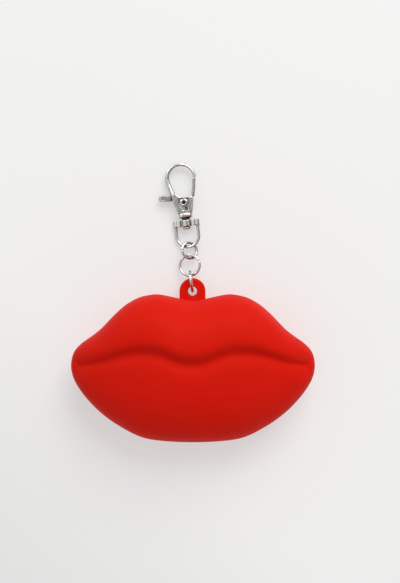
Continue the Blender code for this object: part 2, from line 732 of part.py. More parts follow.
def link_offset(distance, angle, yaw):
    """Return a step in the upright plane of the chain, at an angle above the chain's way."""
    along = distance * math.cos(math.radians(angle))
    up = distance * math.sin(math.radians(angle))
    lean = math.radians(yaw)
    return Vector((-along * math.sin(lean), along * math.cos(lean), up))


def chain_layout():
    """Work out each link's centre and rotation from the tab outwards."""
    layout = {}
    tab_turn = ring_turn((0, 90.0, TAB_RING_YAW))
    reach = TAB_RING_RADIUS - TAB_RING_SLACK
    tab_centre = TAB_HOLE + link_offset(reach, 0, TAB_RING_YAW)
    tab_centre.z = TAB_RING_DIAMETER / 2
    layout["tab_ring"] = (tab_centre, tab_turn)

    large_turn = ring_turn(LARGE_RING_TURNS)
    reach = TAB_RING_RADIUS - RING_WIRE - LARGE_LINK_GAP
    near = tab_centre + link_offset(reach, LARGE_LINK_ANGLE, TAB_RING_YAW)
    large_centre = near + large_turn.to_3x3() @ Vector((0, LARGE_RING_RADIUS, 0))
    layout["large_ring"] = (large_centre, large_turn)
    layout["large_ring_pivot"] = tab_centre + link_offset(TAB_RING_RADIUS, 0, TAB_RING_YAW)

    small_turn = ring_turn(SMALL_RING_TURNS)
    large_far = large_centre + large_turn.to_3x3() @ Vector((0, LARGE_RING_RADIUS, 0))
    near = large_far + link_offset(RING_WIRE + SMALL_LINK_GAP, SMALL_LINK_ANGLE, CHAIN_LEAN)
    small_centre = near + small_turn.to_3x3() @ Vector((0, SMALL_RING_RADIUS, 0))
    layout["small_ring"] = (small_centre, small_turn)
    layout["small_ring_pivot"] = large_far

    small_far = small_centre + small_turn.to_3x3() @ Vector((0, SMALL_RING_RADIUS, 0))
    step = (RING_WIRE + SHACKLE_WIRE) / 2 + SHACKLE_LINK_GAP
    bottom = small_far - link_offset(step, 0, CHAIN_LEAN)
    bottom.x -= SHACKLE_SHIFT
    bottom.z = CHAIN_LEVEL
    swivel = bottom + link_offset(SHACKLE_RADIUS + SHACKLE_ARM, 0, CHAIN_LEAN)
    layout["shackle"] = (swivel, ring_turn((0, SHACKLE_ROLL, CHAIN_LEAN)))
    layout["shackle_pivot"] = bottom + link_offset(SHACKLE_RADIUS, 0, CHAIN_LEAN)
    layout["clasp"] = (swivel, ring_turn((0, 0, CHAIN_LEAN)))
    layout["gate_pivot"] = swivel + link_offset(PIVOT_REACH, 0, CHAIN_LEAN)
    return layout


def add_axis(name, place):
    """Add an empty on a joint's axis, for a piece whose own origin lies elsewhere."""
    empty = bpy.data.objects.new(name, None)
    empty.empty_display_size = RING_WIRE
    empty.location = place
    bpy.context.scene.collection.objects.link(empty)
    return empty


def place_piece(obj, place, turn, pivot=None):
    """Put a piece where it lies, under an empty on its axis if it has one."""
    obj.matrix_world = Matrix.Translation(place) @ turn
    if pivot is not None:
        obj.parent = pivot
        obj.matrix_parent_inverse = Matrix.Translation(-pivot.location)


def build_jump_ring(name, radius, seam_angle):
    """Model a wire ring in its own XY plane, cut through at its seam."""
    half_seam = RING_SEAM / radius / 2
    start = math.radians(seam_angle) + half_seam
    sweep = 2 * math.pi - 2 * half_seam
    path = []
    for i in range(RING_STEPS + 1):
        angle = start + sweep * i / RING_STEPS
        path.append(Vector((radius * math.cos(angle), radius * math.sin(angle), 0)))
    halves = [(RING_WIRE / 2, RING_WIRE / 2)] * len(path)
    ring = add_swept(name, path, halves, WIRE_SIDES, Vector((0, 0, 1)))
    return finish(ring, NICKEL, 0.2, 1.0, 60.0)


def barrel_profile(radius, length):
    """Return the profile of a short cylinder with broken edges."""
    half = length / 2
    edge = BARREL_EDGE
    return [(radius - edge, -half), (radius, edge - half), (radius, half - edge), (radius - edge, half)]


def build_shackle():
    """Model the cast U with ears, crossbar and drilled barrel, around its barrel's centre."""
    arc = arc_points((0, -SHACKLE_ARM), SHACKLE_RADIUS, 180, 360, 16)
    line = [(-SHACKLE_RADIUS, JOIN_SINK)] + arc + [(SHACKLE_RADIUS, JOIN_SINK)]
    path = [Vector((x, y, 0)) for x, y in line]
    halves = [(SHACKLE_WIRE / 2, SHACKLE_WIRE / 2)] * len(path)
    shackle = add_swept("swivel_shackle", path, halves, WIRE_SIDES, Vector((0, 0, 1)))
    for side, label in ((-1, "left"), (1, "right")):
        ear = add_turned(f"{label}_ear_shape", barrel_profile(EAR_RADIUS, EAR_LENGTH), 12, "Y")
        ear.data.transform(Matrix.Translation((side * SHACKLE_RADIUS, 0, 0)))
        combine(shackle, ear, "UNION")
    reach = SHACKLE_RADIUS
    high = CROSSBAR_HEIGHT / 2
    depth = CROSSBAR_DEPTH / 2 - JOIN_SINK
    bar = [(-reach, -high), (reach, -high), (reach, high), (-reach, high)]
    combine(shackle, add_prism("crossbar_shape", bar, -depth, depth), "UNION")
    barrel = barrel_profile(BARREL_RADIUS, BARREL_LENGTH)
    barrel_shape = add_turned("barrel_shape", barrel, ROUND_SIDES, "Y")
    barrel_shape.data.transform(Matrix.Diagonal((1, 1, BARREL_FLATNESS_SHARE, 1)))
    combine(shackle, barrel_shape, "UNION")
    drill_half = BARREL_LENGTH / 2 + CUT_OVERRUN
    drill = [(SWIVEL_HOLE_RADIUS, -drill_half), (SWIVEL_HOLE_RADIUS, drill_half)]
    combine(shackle, add_turned("swivel_hole_shape", drill, ROUND_SIDES, "Y"), "DIFFERENCE")
    return finish(shackle, NICKEL, 0.22, 1.0, 40.0)


def add_swivel_post():
    """Add the headed post that the clasp turns on in the barrel."""
    inner = BARREL_LENGTH / 2 + SWIVEL_GAP
    profile = [
        (POST_HEAD_RADIUS / 2, -inner - POST_HEAD_LENGTH),
        (POST_HEAD_RADIUS, -inner - POST_HEAD_LENGTH / 2),
        (POST_HEAD_RADIUS, -inner - SWIVEL_GAP / 2),
        (POST_HEAD_RADIUS - SWIVEL_GAP / 2, -inner),
        (POST_RADIUS, -inner),
        (POST_RADIUS, WEDGE_FOOT + WEDGE_EDGE),
    ]
    return add_turned("swivel_post_shape", profile, ROUND_SIDES, "Y")


def add_collar():
    """Add the neck and the flared oval collar between the barrel and the wedge."""
    rim = COLLAR_FOOT + COLLAR_LENGTH
    profile = [
        (NECK_RADIUS, NECK_FOOT),
        (NECK_RADIUS, COLLAR_FOOT - SWIVEL_GAP),
        (COLLAR_RADIUS - SWIVEL_GAP, COLLAR_FOOT),
        (COLLAR_RADIUS, COLLAR_FOOT + SWIVEL_GAP),
        (COLLAR_RADIUS, rim - SWIVEL_GAP * 2),
        (COLLAR_RADIUS - SWIVEL_GAP, rim),
        (COLLAR_RADIUS - SWIVEL_GAP * 2, WEDGE_FOOT + WEDGE_EDGE * 2),
    ]
    collar = add_turned("collar_shape", profile, ROUND_SIDES, "Y")
    collar.data.transform(Matrix.Diagonal((1, 1, COLLAR_FLATNESS_SHARE, 1)))
    return collar


def add_hook():
    """Add the hook: an arm out of the wedge's left side and a half round loop."""
    rise = HOOK_CENTRE - PIVOT_REACH
    half = HOOK_WIRE / 2
    depth = HOOK_WIRE_DEPTH / 2
    path = []
    halves = []
    for x, y, width, thickness in HOOK_ARM_SHARES:
        path.append(Vector((x * HOOK_RADIUS - HOOK_SHIFT, PIVOT_REACH + y * rise, 0)))
        halves.append((half * width, depth * thickness))
    narrowing = HOOK_LEFT_WIDTH_SHARE - HOOK_TOP_WIDTH_SHARE
    loop = arc_points((-HOOK_SHIFT, HOOK_CENTRE), HOOK_RADIUS, 180, 0, HOOK_STEPS)
    for i, (x, y) in enumerate(loop):
        width = HOOK_LEFT_WIDTH_SHARE - narrowing * min(2 * i / HOOK_STEPS, 1)
        path.append(Vector((x, y, 0)))
        halves.append((half * width, depth))
    return add_swept("hook_shape", path, halves, 10, Vector((0, 0, 1)))


def gate_slot_outline():
    """Return the pocket between the cheeks that the hub, lever and arm move in."""
    floor = PIVOT_REACH - GATE_HUB_RADIUS - GATE_GAP
    outside = HOOK_WIDTH
    lift = LEVER_HALF_HEIGHT + GATE_GAP
    rest = math.tan(math.radians(180 - LEVER_ANGLE))
    swung = math.tan(math.radians(LEVER_ANGLE + GATE_OPEN_ANGLE - 180))
    spring_reach = SPRING_RADIUS + SPRING_WIRE / 2 + GATE_GAP / 2
    spring_right = SPRING_X + spring_reach
    spring_left = SPRING_X - spring_reach
    left_floor = PIVOT_REACH + spring_left * swung - lift - GATE_GAP
    spring_floor = SPRING_FOOT - GATE_GAP
    arm_left = -GATE_HUB_RADIUS - GATE_GAP
    return [
        (outside, floor),
        (spring_right, floor),
        (spring_right, spring_floor),
        (spring_left, spring_floor),
        (spring_left, left_floor),
        (-outside, PIVOT_REACH - outside * swung - lift - GATE_GAP),
        (-outside, PIVOT_REACH + outside * rest + lift + GATE_GAP),
        (arm_left, PIVOT_REACH - arm_left * rest + lift + GATE_GAP),
        (arm_left, WEDGE_TOP + CUT_OVERRUN),
        (outside, WEDGE_TOP + CUT_OVERRUN),
    ]


def wedge_outline(shares):
    """Turn shares of the wedge's half width and rise into an outline."""
    rise = WEDGE_TOP - WEDGE_FOOT
    return [(x * WEDGE_HALF_WIDTH, WEDGE_FOOT + y * rise) for x, y in shares]


def build_clasp_frame():
    """Model the cast clasp around the barrel's centre: wedge, hook, collar and post."""
    half = CLASP_THICKNESS / 2
    frame = add_prism("clasp_frame", wedge_outline(WEDGE_OUTLINE_SHARES), -half, half)
    add_bevel(frame, WEDGE_EDGE, 2)
    combine(frame, add_hook(), "UNION")
    combine(frame, add_collar(), "UNION")
    combine(frame, add_swivel_post(), "UNION")
    slot_half = GATE_THICKNESS / 2 + GATE_GAP
    combine(frame, add_prism("gate_slot_shape", gate_slot_outline(), -slot_half, slot_half), "DIFFERENCE")
    seat = half - RIVET_HEAD_DEPTH - RUNNING_CLEARANCE
    for side, label in ((-1, "back"), (1, "front")):
        levels = sorted((side * seat, side * (half + CUT_OVERRUN)))
        panel = add_prism(f"{label}_panel_shape", wedge_outline(PANEL_OUTLINE_SHARES), *levels)
        combine(frame, panel, "DIFFERENCE")
        levels = sorted((side * (seat - MARK_DEPTH), side * half))
        mark = add_prism(f"{label}_mark_shape", wedge_outline(MARK_OUTLINE_SHARES), *levels)
        combine(frame, mark, "DIFFERENCE")
    drill = arc_points((0, PIVOT_REACH), RIVET_RADIUS + RUNNING_CLEARANCE, 0, 360, ROUND_SIDES)[:-1]
    combine(frame, add_prism("rivet_hole_shape", drill, -half, half), "DIFFERENCE")
    return finish(frame, NICKEL, 0.22, 1.0, 40.0)


def build_gate():
    """Model the gate around its pivot: hub, wire arm up to the hook's tip and thumb lever."""
    half = GATE_THICKNESS / 2
    outline = arc_points((0, 0), GATE_HUB_RADIUS, 0, 360, ROUND_SIDES)[:-1]
    gate = add_prism("clasp_gate", outline, -half, half)
    tip_rise = HOOK_CENTRE - PIVOT_REACH - HOOK_TIP_GAP
    elbow = Vector((GATE_ELBOW_X, GATE_ELBOW_RISE, 0))
    tip = Vector((GATE_TIP_X, tip_rise, 0))
    path = [Vector((GATE_WIRE / 2, GATE_WIRE / 3, 0)), elbow * 0.75, elbow.lerp(tip, 0.03)]
    path += [elbow.lerp(tip, 0.16), elbow.lerp(tip, 0.55), tip - tip.normalized() * GATE_WIRE / 2, tip]
    halves = [(GATE_WIRE / 2, half - JOIN_SINK / 3)] * len(path)
    arm = add_swept("gate_arm_shape", path, halves, 8, Vector((0, 0, 1)))
    combine(gate, arm, "UNION")
    combine(gate, add_lever(half - JOIN_SINK / 2), "UNION")
    combine(gate, add_lever_pad(), "UNION")
    drill = arc_points((0, 0), RIVET_RADIUS + RUNNING_CLEARANCE, 0, 360, ROUND_SIDES)[:-1]
    combine(gate, add_prism("hub_hole_shape", drill, -half * 2, half * 2), "DIFFERENCE")
    return finish(gate, NICKEL, 0.22, 1.0, 40.0)


def add_lever(half_depth):
    """Add the lever's bar, from the hub into the thumb pad."""
    high = LEVER_HALF_HEIGHT
    outline = [(0, -high), (LEVER_LENGTH, -high), (LEVER_LENGTH, high), (0, high)]
    lever = add_prism("lever_shape", outline, -half_depth, half_depth)
    lever.data.transform(Matrix.Rotation(math.radians(LEVER_ANGLE), 4, "Z"))
    return lever


def add_lever_pad():
    """Add the thicker thumb pad with its round end, bent off the lever's line."""
    high = LEVER_PAD_RADIUS
    centre = (LEVER_PAD_LENGTH - LEVER_PAD_RADIUS, 0)
    outline = [(0, -high)] + arc_points(centre, LEVER_PAD_RADIUS, -90, 90, 10) + [(0, high)]
    half = LEVER_PAD_THICKNESS / 2
    pad = add_prism("lever_pad_shape", outline, -half, half)
    pad.data.transform(Matrix.Rotation(math.radians(LEVER_PAD_TURN), 4, "Z"))
    pad.data.transform(Matrix.Translation((LEVER_PAD_START, 0, 0)))
    pad.data.transform(Matrix.Rotation(math.radians(LEVER_ANGLE), 4, "Z"))
    add_bevel(pad, LEVER_EDGE, 1)
    return pad


def build_rivet():
    """Model the tubular rivet with a flange in each cheek."""
    half = CLASP_THICKNESS / 2
    seat = half - RIVET_HEAD_DEPTH
    profile = [
        (RIVET_BORE_RADIUS, -half),
        (RIVET_HEAD_RADIUS, -half),
        (RIVET_HEAD_RADIUS, -seat),
        (RIVET_RADIUS, -seat),
        (RIVET_RADIUS, seat),
        (RIVET_HEAD_RADIUS, seat),
        (RIVET_HEAD_RADIUS, half),
        (RIVET_BORE_RADIUS, half),
    ]
    return finish(add_turned("clasp_rivet", profile, ROUND_SIDES, hollow=True), NICKEL, 0.25, 1.0, 40.0)


def build_gate_spring():
    """Model the small coil spring that pushes the lever up, in its pocket of the frame."""
    path = []
    count = SPRING_TURNS * SPRING_STEPS
    for i in range(count + 1):
        angle = 2 * math.pi * i / SPRING_STEPS
        rise = SPRING_FOOT + (SPRING_TOP - SPRING_FOOT) * i / count
        x = SPRING_X + SPRING_RADIUS * math.cos(angle)
        path.append(Vector((x, rise, SPRING_RADIUS * math.sin(angle))))
    halves = [(SPRING_WIRE / 2, SPRING_WIRE / 2)] * len(path)
    spring = add_swept("gate_spring", path, halves, 5, Vector((0, 1, 0)))
    return finish(spring, SPRING_STEEL, 0.3, 1.0, 80.0)


def build_chain():
    """Model and place the rings, the shackle and the clasp."""
    layout = chain_layout()
    tab_ring = build_jump_ring("tab_jump_ring", TAB_RING_RADIUS, 120.0)
    place_piece(tab_ring, *layout["tab_ring"])
    pivot = add_axis("large_jump_ring_axis", layout["large_ring_pivot"])
    large_ring = build_jump_ring("large_jump_ring", LARGE_RING_RADIUS, 20.0)
    place_piece(large_ring, *layout["large_ring"], pivot)
    pivot = add_axis("small_jump_ring_axis", layout["small_ring_pivot"])
    small_ring = build_jump_ring("small_jump_ring", SMALL_RING_RADIUS, 180.0)
    place_piece(small_ring, *layout["small_ring"], pivot)
    pivot = add_axis("swivel_shackle_axis", layout["shackle_pivot"])
    place_piece(build_shackle(), *layout["shackle"], pivot)
    swivel, turn = layout["clasp"]
    place_piece(build_clasp_frame(), swivel, turn)
    place_piece(build_gate(), layout["gate_pivot"], turn)
    place_piece(build_rivet(), layout["gate_pivot"], turn)
    place_piece(build_gate_spring(), swivel, turn)


def build_zipper():
    """Model the tapes, the toothed rows, the slider with its pull and the stops."""
    build_tape("zipper_tape_upper", 1)
    build_tape("zipper_tape_lower", -1)
    build_row("zipper_coil_upper", 1, TOOTH_WIDTH)
    build_row("zipper_coil_lower", -1, TOOTH_WIDTH + TOOTH_PITCH / 2)
    build_slider()
    build_pull()
    build_stops()


def main():
    clear_scene()
    build_purse_body()
    build_zipper()
    build_chain()


main()
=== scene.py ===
"""Lips-shaped silicone coin purse with its key chain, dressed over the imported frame."""

import math

import bmesh
import bpy
from mathutils import Matrix, Vector


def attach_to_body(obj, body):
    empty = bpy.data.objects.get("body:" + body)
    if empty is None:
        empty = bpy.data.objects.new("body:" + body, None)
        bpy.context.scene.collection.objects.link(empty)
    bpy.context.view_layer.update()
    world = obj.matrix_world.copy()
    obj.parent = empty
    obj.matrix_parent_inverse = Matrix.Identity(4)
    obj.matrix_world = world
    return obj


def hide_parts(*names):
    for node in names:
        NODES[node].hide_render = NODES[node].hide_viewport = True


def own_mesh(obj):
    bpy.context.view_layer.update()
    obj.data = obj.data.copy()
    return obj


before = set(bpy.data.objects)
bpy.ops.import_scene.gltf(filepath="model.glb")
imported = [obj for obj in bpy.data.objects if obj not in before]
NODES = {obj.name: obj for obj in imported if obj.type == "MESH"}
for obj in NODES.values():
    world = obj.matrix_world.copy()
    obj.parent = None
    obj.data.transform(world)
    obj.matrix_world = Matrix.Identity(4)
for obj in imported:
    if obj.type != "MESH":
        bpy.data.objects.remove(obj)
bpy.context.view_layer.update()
UP = Vector((0, 0, 1))

# The photograph's camera, in metres and pixels
CAMERA_X = 0.0031
CAMERA_Y = 0.03395
CAMERA_HEIGHT = 0.4
FOCAL_PIXELS = 869.8
IMAGE_WIDTH = 400
SENSOR_WIDTH = 36.0

# Purse body, as the frame has it
PURSE_HALF_WIDTH = 0.054
UPPER_LIP_HEIGHT = 0.0314
LOWER_LIP_HEIGHT = 0.0341
CROWN_LEVEL = 0.0362
LOWER_LIP_SETBACK = 0.0025
CORNER_POWER = 8
WIDEST_LEVEL = 0.014
BACK_INSET = 0.0075
CORNER_LINE_Y = 0.00135
SIDE_WALL = 0.0026
BACK_WALL = 0.0042
POCKET_FLOOR_INSET = 0.003
MOUTH_HALF_WIDTH = 0.0495
MOUTH_RISE = 0.006
CREASE_DEPTH = 0.0012
UPPER_CREASE_REACH = 0.003
LOWER_CREASE_REACH = 0.0035
CROWN_POWER = 2.8
TAPER_POWER = 2.6
CORNER_RISE_SHARE = 0.13
CORNER_SOFTNESS_SHARE = 0.06
CORNER_NARROWING_SHARE = 0.55
CREASE_POWER = 6
UPPER_OUTLINE_SHARES = (
    (1.0, 0.0), (0.976, 0.185), (0.922, 0.296), (0.831, 0.411), (0.75, 0.522), (0.622, 0.748),
    (0.544, 0.86), (0.445, 0.953), (0.362, 0.989), (0.3, 1.0), (0.235, 0.986), (0.108, 0.938),
    (0.0, 0.903),
)
LOWER_OUTLINE_SHARES = (
    (1.0, 0.0), (0.983, 0.152), (0.93, 0.31), (0.852, 0.466), (0.75, 0.624),
    (0.614, 0.779), (0.429, 0.93), (0.276, 0.979), (0.0, 1.0),
)
# Places on the mouth line count from the middle (0) to the corner (1)
MOUTH_LINE_SHARES = (
    (0.0, 0.22), (0.1, 0.3), (0.2, 0.62), (0.32, 0.95), (0.44, 1.0), (0.57, 0.89),
    (0.69, 0.6), (0.82, 0.3), (1.0, 0.06),
)
TAB_HOLE = Vector((-0.0003, 0.0341442, 0.00405))
TAB_RADIUS = 0.0059
TAB_THICKNESS = 0.0035
TAB_BOTTOM = 0.0023
TAB_EDGE = 0.0011
TAB_TAIL = 0.0122
TAB_HOLE_RADIUS = 0.00205
TAB_HOLE_EDGE = 0.0004
TAB_FOOT_RADIUS = 0.0026

# The skin's mesh: columns, rows over the lips and rows down the side
SKIN_GRID = (320, 40, 14)
POCKET_GRID = (160, 18, 8)
ROW_CROWDING = 1.15
BACK_ROW_INSETS = (0.0006, 0.0016)
RECESS_EDGE = 0.0006
RECESS_FLOOR_EDGE = 0.0004
SLOT_EDGE = 0.0003
CUT_REACH = 0.001

# Zipper, as the frame has it
ZIPPER_Y = 0.00985
SLOT_HALF_LENGTH = 0.0335
SLOT_HALF_WIDTH = 0.0047
RECESS_HALF_LENGTH = 0.038
RECESS_HALF_WIDTH = 0.0075
RECESS_DEPTH = 0.0026
TAPE_MIDDLE = 0.0047
TAPE_THICKNESS = 0.0005
TAPE_HALF_LENGTH = 0.035
TAPE_REACH = 0.0126
TOOTH_PITCH = 0.0017
TOOTH_WIDTH = 0.0006
TOOTH_LAP = 0.0005
ROW_EDGE = 0.0019
ROW_THICKNESS = 0.0016
ROW_SPREAD = 0.00145
ROW_START = -0.0303966
ROW_END = 0.0303966
SPREAD_FRONT = ROW_START + 0.0012
SPREAD_BACK = ROW_START + 0.0051
TAPE_COLUMNS = 141
TAPE_ROWS = 22
TAPE_ROW_GAP = 0.00025
TAPE_CORNER = 0.0068
TAPE_ROUNDING = 0.0001
PUCKER_HEIGHT = 0.00005
PUCKER_RATE = 900
RIPPLE_HEIGHT = 0.00004
RIPPLE_RATES = (2300, 700)
COIL_WIRE = 0.00031
COIL_STEPS = 20
COIL_SWAY = 0.0001
COIL_SQUARENESS = 0.7
STITCH_HALF_LENGTH = 0.0362
STITCH_HALF_WIDTH = 0.0062
STITCH_LENGTH = 0.0025
STITCH_GAP = 0.0008
STITCH_RADIUS = 0.00027
SLIDER_EDGE = 0.00012
STOP_EDGE = 0.0001

# Chain, as the frame has it
RING_WIRE = 0.0012
RING_SEAM = 0.0003
RING_STEPS = 128
RING_SEAM_LIFT = 0.00007
RING_SEAM_LIFT_POWER = 15
RING_END_SHARE = 0.86
# Each ring's centre, its pitch, roll and yaw, its radius and the angle of its seam
LINKS = {
    "tab_ring": ((-0.000926, 0.0386, 0.00515), (0, 90.0, 8.0), 0.00455, 120.0),
    "large_ring": ((-0.001574, 0.045847, 0.00324), (-5.0, -15.6, 3.5), 0.0047, 20.0),
    "small_ring": ((-0.001712, 0.05261, 0.002538), (-8.0, 28.0, 0.5), 0.0037, 180.0),
}
CHAIN_LEAN = 6.5
SWIVEL = Vector((-0.003146, 0.065067, 0.0023))
GATE_PIVOT = Vector((-0.004211, 0.074411, 0.0023))
SHACKLE_RADIUS = 0.0052
SHACKLE_WIRE = 0.0015
SHACKLE_ARM = 0.0056
SHACKLE_ROLL = -13.0
BARREL_RADIUS = 0.0026
BARREL_FLATNESS_SHARE = 0.84
BARREL_LENGTH = 0.0031
CROSSBAR_HEIGHT = 0.0021
CROSSBAR_DEPTH = 0.002
SHOULDER_NEAR = 0.0027
SHOULDER_FAR = 0.0041
EAR_RADIUS = 0.001
EAR_LENGTH = 0.0034
EDGE = 0.0003
SWIVEL_HOLE_RADIUS = 0.0013
SWIVEL_GAP = 0.0003
CLASP_HALF = 0.0023
POST_RADIUS = 0.00105
POST_HEAD_RADIUS = 0.0019
POST_HEAD_LENGTH = 0.0011
NECK_RADIUS = 0.0017
NECK_FOOT = BARREL_LENGTH / 2 + SWIVEL_GAP
COLLAR_FOOT = NECK_FOOT + 0.001
COLLAR_RADIUS = 0.0031
COLLAR_LENGTH = 0.0014
COLLAR_FLATNESS_SHARE = 0.71
COLLAR_SQUARENESS = 0.6
WEDGE_FOOT = 0.0043
WEDGE_TOP = 0.012
WEDGE_HALF_WIDTH = 0.0055
WEDGE_EDGE = 0.0005
WEDGE_TAPER_REACH = 0.0036
WEDGE_TAPER_SHARE = 0.16
MARK_DEPTH = 0.0006
HOOK_CENTRE = 0.0207
HOOK_SHIFT = 0.0002
HOOK_RADIUS = 0.0063
HOOK_WIRE = 0.0018
HOOK_DEPTH = 0.0024
HOOK_TIP_GAP = 0.0005
HOOK_STEPS = 64
HOOK_SQUARENESS = 0.85
WEDGE_OUTLINE_SHARES = (
    (-0.58, 0.0), (0.54, 0.0), (0.62, 0.1), (0.71, 0.4), (0.81, 0.86), (0.77, 1.0),
    (-0.2, 1.01), (-0.42, 1.1), (-0.6, 1.26), (-1.0, 1.18), (-0.9, 0.72), (-0.74, 0.34),
)
PANEL_OUTLINE_SHARES = (
    (-0.17, 0.19), (0.36, 0.19), (0.4, 0.52), (0.43, 0.92), (-0.38, 0.94), (-0.46, 0.68),
    (-0.35, 0.43),
)
MARK_OUTLINE_SHARES = ((0.04, 0.21), (0.24, 0.21), (0.24, 0.4), (0.04, 0.4))
HOOK_ARM_SHARES = (
    (-0.6, 0.1, 1.3, 1.75), (-0.66, 0.26, 1.32, 1.72), (-0.72, 0.4, 1.3, 1.55),
    (-0.84, 0.6, 1.24, 1.2), (-0.94, 0.8, 1.2, 1.04),
)
HOOK_LEFT_WIDTH_SHARE = 1.16
HOOK_TOP_WIDTH_SHARE = 0.86
PIVOT_REACH = 0.0094051
GATE_HALF = 0.00075
GATE_GAP = 0.00025
GATE_HUB_RADIUS = 0.00185
GATE_OPEN_ANGLE = 28.0
GATE_ELBOW = Vector((0.0044, 0.003, 0))
GATE_TIP_X = 0.006
LEVER_ANGLE = 155.0
LEVER_LENGTH = 0.0075
LEVER_HALF_HEIGHT = 0.0009
LEVER_PAD_TURN = 19.0
LEVER_PAD_LENGTH = 0.0058
LEVER_PAD_START = 0.0061
LEVER_PAD_RADIUS = 0.0013
LEVER_PAD_HALF = 0.0013
LEVER_TIP_REACH = 0.002
LEVER_TIP_FALL_SHARE = 0.5
RIVET_RADIUS = 0.001
RIVET_BORE_RADIUS = 0.0007
RIVET_HEAD_RADIUS = 0.00185
RIVET_HEAD_DEPTH = 0.0004
RIVET_WELL_DEPTH = 0.0012
RIVET_ROLL_SHARES = (
    (2.875, -0.5), (2.6, 0.25), (2.4, 0.7), (2.1, 0.92), (1.75, 1.0), (1.45, 0.98), (1.18, 0.85),
    (1.0, 0.5), (0.6, 0.3), (0.12, 0.25), (0.0, 0.1),
)
RUNNING_CLEARANCE = 0.0001
SPRING_X = -0.0026
SPRING_TOP = PIVOT_REACH - 0.0002
SPRING_LENGTH = 0.0034
SPRING_RADIUS = 0.00048
SPRING_WIRE = 0.00014
SPRING_TURNS = 5

# Cast pieces: the size of the mesh's grain, and how often it is relaxed
SHACKLE_GRAIN = (0.00009, 5)
CLASP_GRAIN = (0.0001, 5)
GATE_GRAIN = (0.00008, 4)

# Floor and room; the soft levels go by the sine of the height over the horizon
FLOOR_LEVEL = -0.0003
FLOOR_HALF = 1.6
PAPER_GLOW_SHARE = 0.45
# Painted shade on the paper towards the near left corner
PAPER_DIM_CORNER = (-0.7, -0.7, 0.0)
PAPER_DIM_REACH = (0.03, 0.12)
PAPER_DIM_LEVEL = 0.91
SOFT_LEVELS = ((0.0, 0.48), (0.5, 0.58), (1.0, 0.41))
FLAG_RADIUS = 0.36
FLAG_LOW = 0.055
FLAG_HIGH = 0.42
FLAG_OPEN_ANGLE = -30.0
FLAG_STEPS = 72
FLAG_GREY = 0.06
CARD_LEVEL = 0.42
CARD_EDGES = (-0.15, 0.38, -0.34, 0.165)
CARD_GREY = 0.54
KEY_PLACE = (0.4, 1.05, 1.0)
KEY_SIZE = 1.0
KEY_POWER = 11.9
KEY_COLOUR = (1.0, 0.99, 0.97)
WINDOW_PLACE = (-0.55, 0.62, 0.46)
WINDOW_TARGET = (0, 0.08, 0)
WINDOW_SIZE = 0.45
WINDOW_POWER = 2.2


# Mesh tools


def new_object(name, vertices, faces, outward=True, merge=0):
    """Add a mesh object with smooth shading; merge counts the first points, which may coincide."""
    mesh = bpy.data.meshes.new(name)
    mesh.from_pydata([tuple(v) for v in vertices], [], faces)
    if outward:
        shape = bmesh.new()
        shape.from_mesh(mesh)
        shape.verts.ensure_lookup_table()
        bmesh.ops.remove_doubles(shape, verts=shape.verts[:merge], dist=1e-7)
        bmesh.ops.recalc_face_normals(shape, faces=shape.faces)
        shape.to_mesh(mesh)
        shape.free()
    obj = bpy.data.objects.new(name, mesh)
    bpy.context.scene.collection.objects.link(obj)
    mesh.shade_smooth()
    return obj


def loft(loops, closed=True, start_cap=True, end_cap=True, ring=False):
    """Return vertices and faces through rows of points; closed joins each row to itself."""
    count = len(loops[0])
    vertices = [v for loop in loops for v in loop]
    faces = []
    rows = len(loops)
    for r in range(rows if ring else rows - 1):
        low = r * count
        high = (r + 1) % rows * count
        for k in range(count if closed else count - 1):
            j = (k + 1) % count
            faces.append((low + k, low + j, high + j, high + k))
    if start_cap and not ring:
        faces.append(tuple(range(count)))
    if end_cap and not ring:
        faces.append(tuple(range((rows - 1) * count, rows * count)))
    return vertices, faces


def swept_loops(path, halves, sides, up, power=1.0):
    """Return the rows of an oval section swept along a path."""
    loops = []
    for i, point in enumerate(path):
        before = path[max(i - 1, 0)]
        after = path[min(i + 1, len(path) - 1)]
        forward = (after - before).normalized()
        across = forward.cross(up).normalized()
        lift = across.cross(forward)
        row = []
        for k in range(sides):
            angle = 2 * math.pi * (k + 0.5) / sides
            c = math.cos(angle)
            s = math.sin(angle)
            c = math.copysign(abs(c) ** power, c)
            s = math.copysign(abs(s) ** power, s)
            row.append(point + across * halves[i][0] * c + lift * halves[i][1] * s)
        loops.append(row)
    return loops


def swept(name, path, halves, sides, up, power=1.0):
    """Sweep an oval section along a path, with flat ends."""
    return new_object(name, *loft(swept_loops(path, halves, sides, up, power)))


def turned(name, profile, sides, axis="Z"):
    """Turn a profile of radius and height."""
    loops = []
    for radius, height in profile:
        row = []
        for i in range(sides):
            angle = 2 * math.pi * (i + 0.5) / sides
            row.append(Vector((radius * math.cos(angle), radius * math.sin(angle), height)))
        loops.append(row)
    if axis == "Y":
        loops = [[Vector((v.x, v.z, -v.y)) for v in row] for row in loops]
    return new_object(name, *loft(loops))


def prism(name, outline, low, high):
    """Extrude an outline between two levels."""
    loops = [[Vector((x, y, z)) for x, y in outline] for z in (low, high)]
    return new_object(name, *loft(loops))


def rectangle(left, right, low, high):
    """Return the corners of a rectangle in X and Y."""
    return [(left, low), (right, low), (right, high), (left, high)]


def add_bevel(obj, width, angle):
    """Round the edges where faces meet at more than an angle."""
    modifier = obj.modifiers.new("edge", "BEVEL")
    modifier.width = width
    modifier.segments = 3
    modifier.limit_method = "ANGLE"
    modifier.angle_limit = math.radians(angle)
    return obj


def arc(centre, radius, start, end, steps):
    """Return points in X and Y along an arc."""
    points = []
    for i in range(steps + 1):
        angle = math.radians(start + (end - start) * i / steps)
        points.append((centre[0] + radius * math.cos(angle), centre[1] + radius * math.sin(angle)))
    return points


def circle(centre, radius, steps):
    return arc(centre, radius, 0, 360, steps)[:-1]


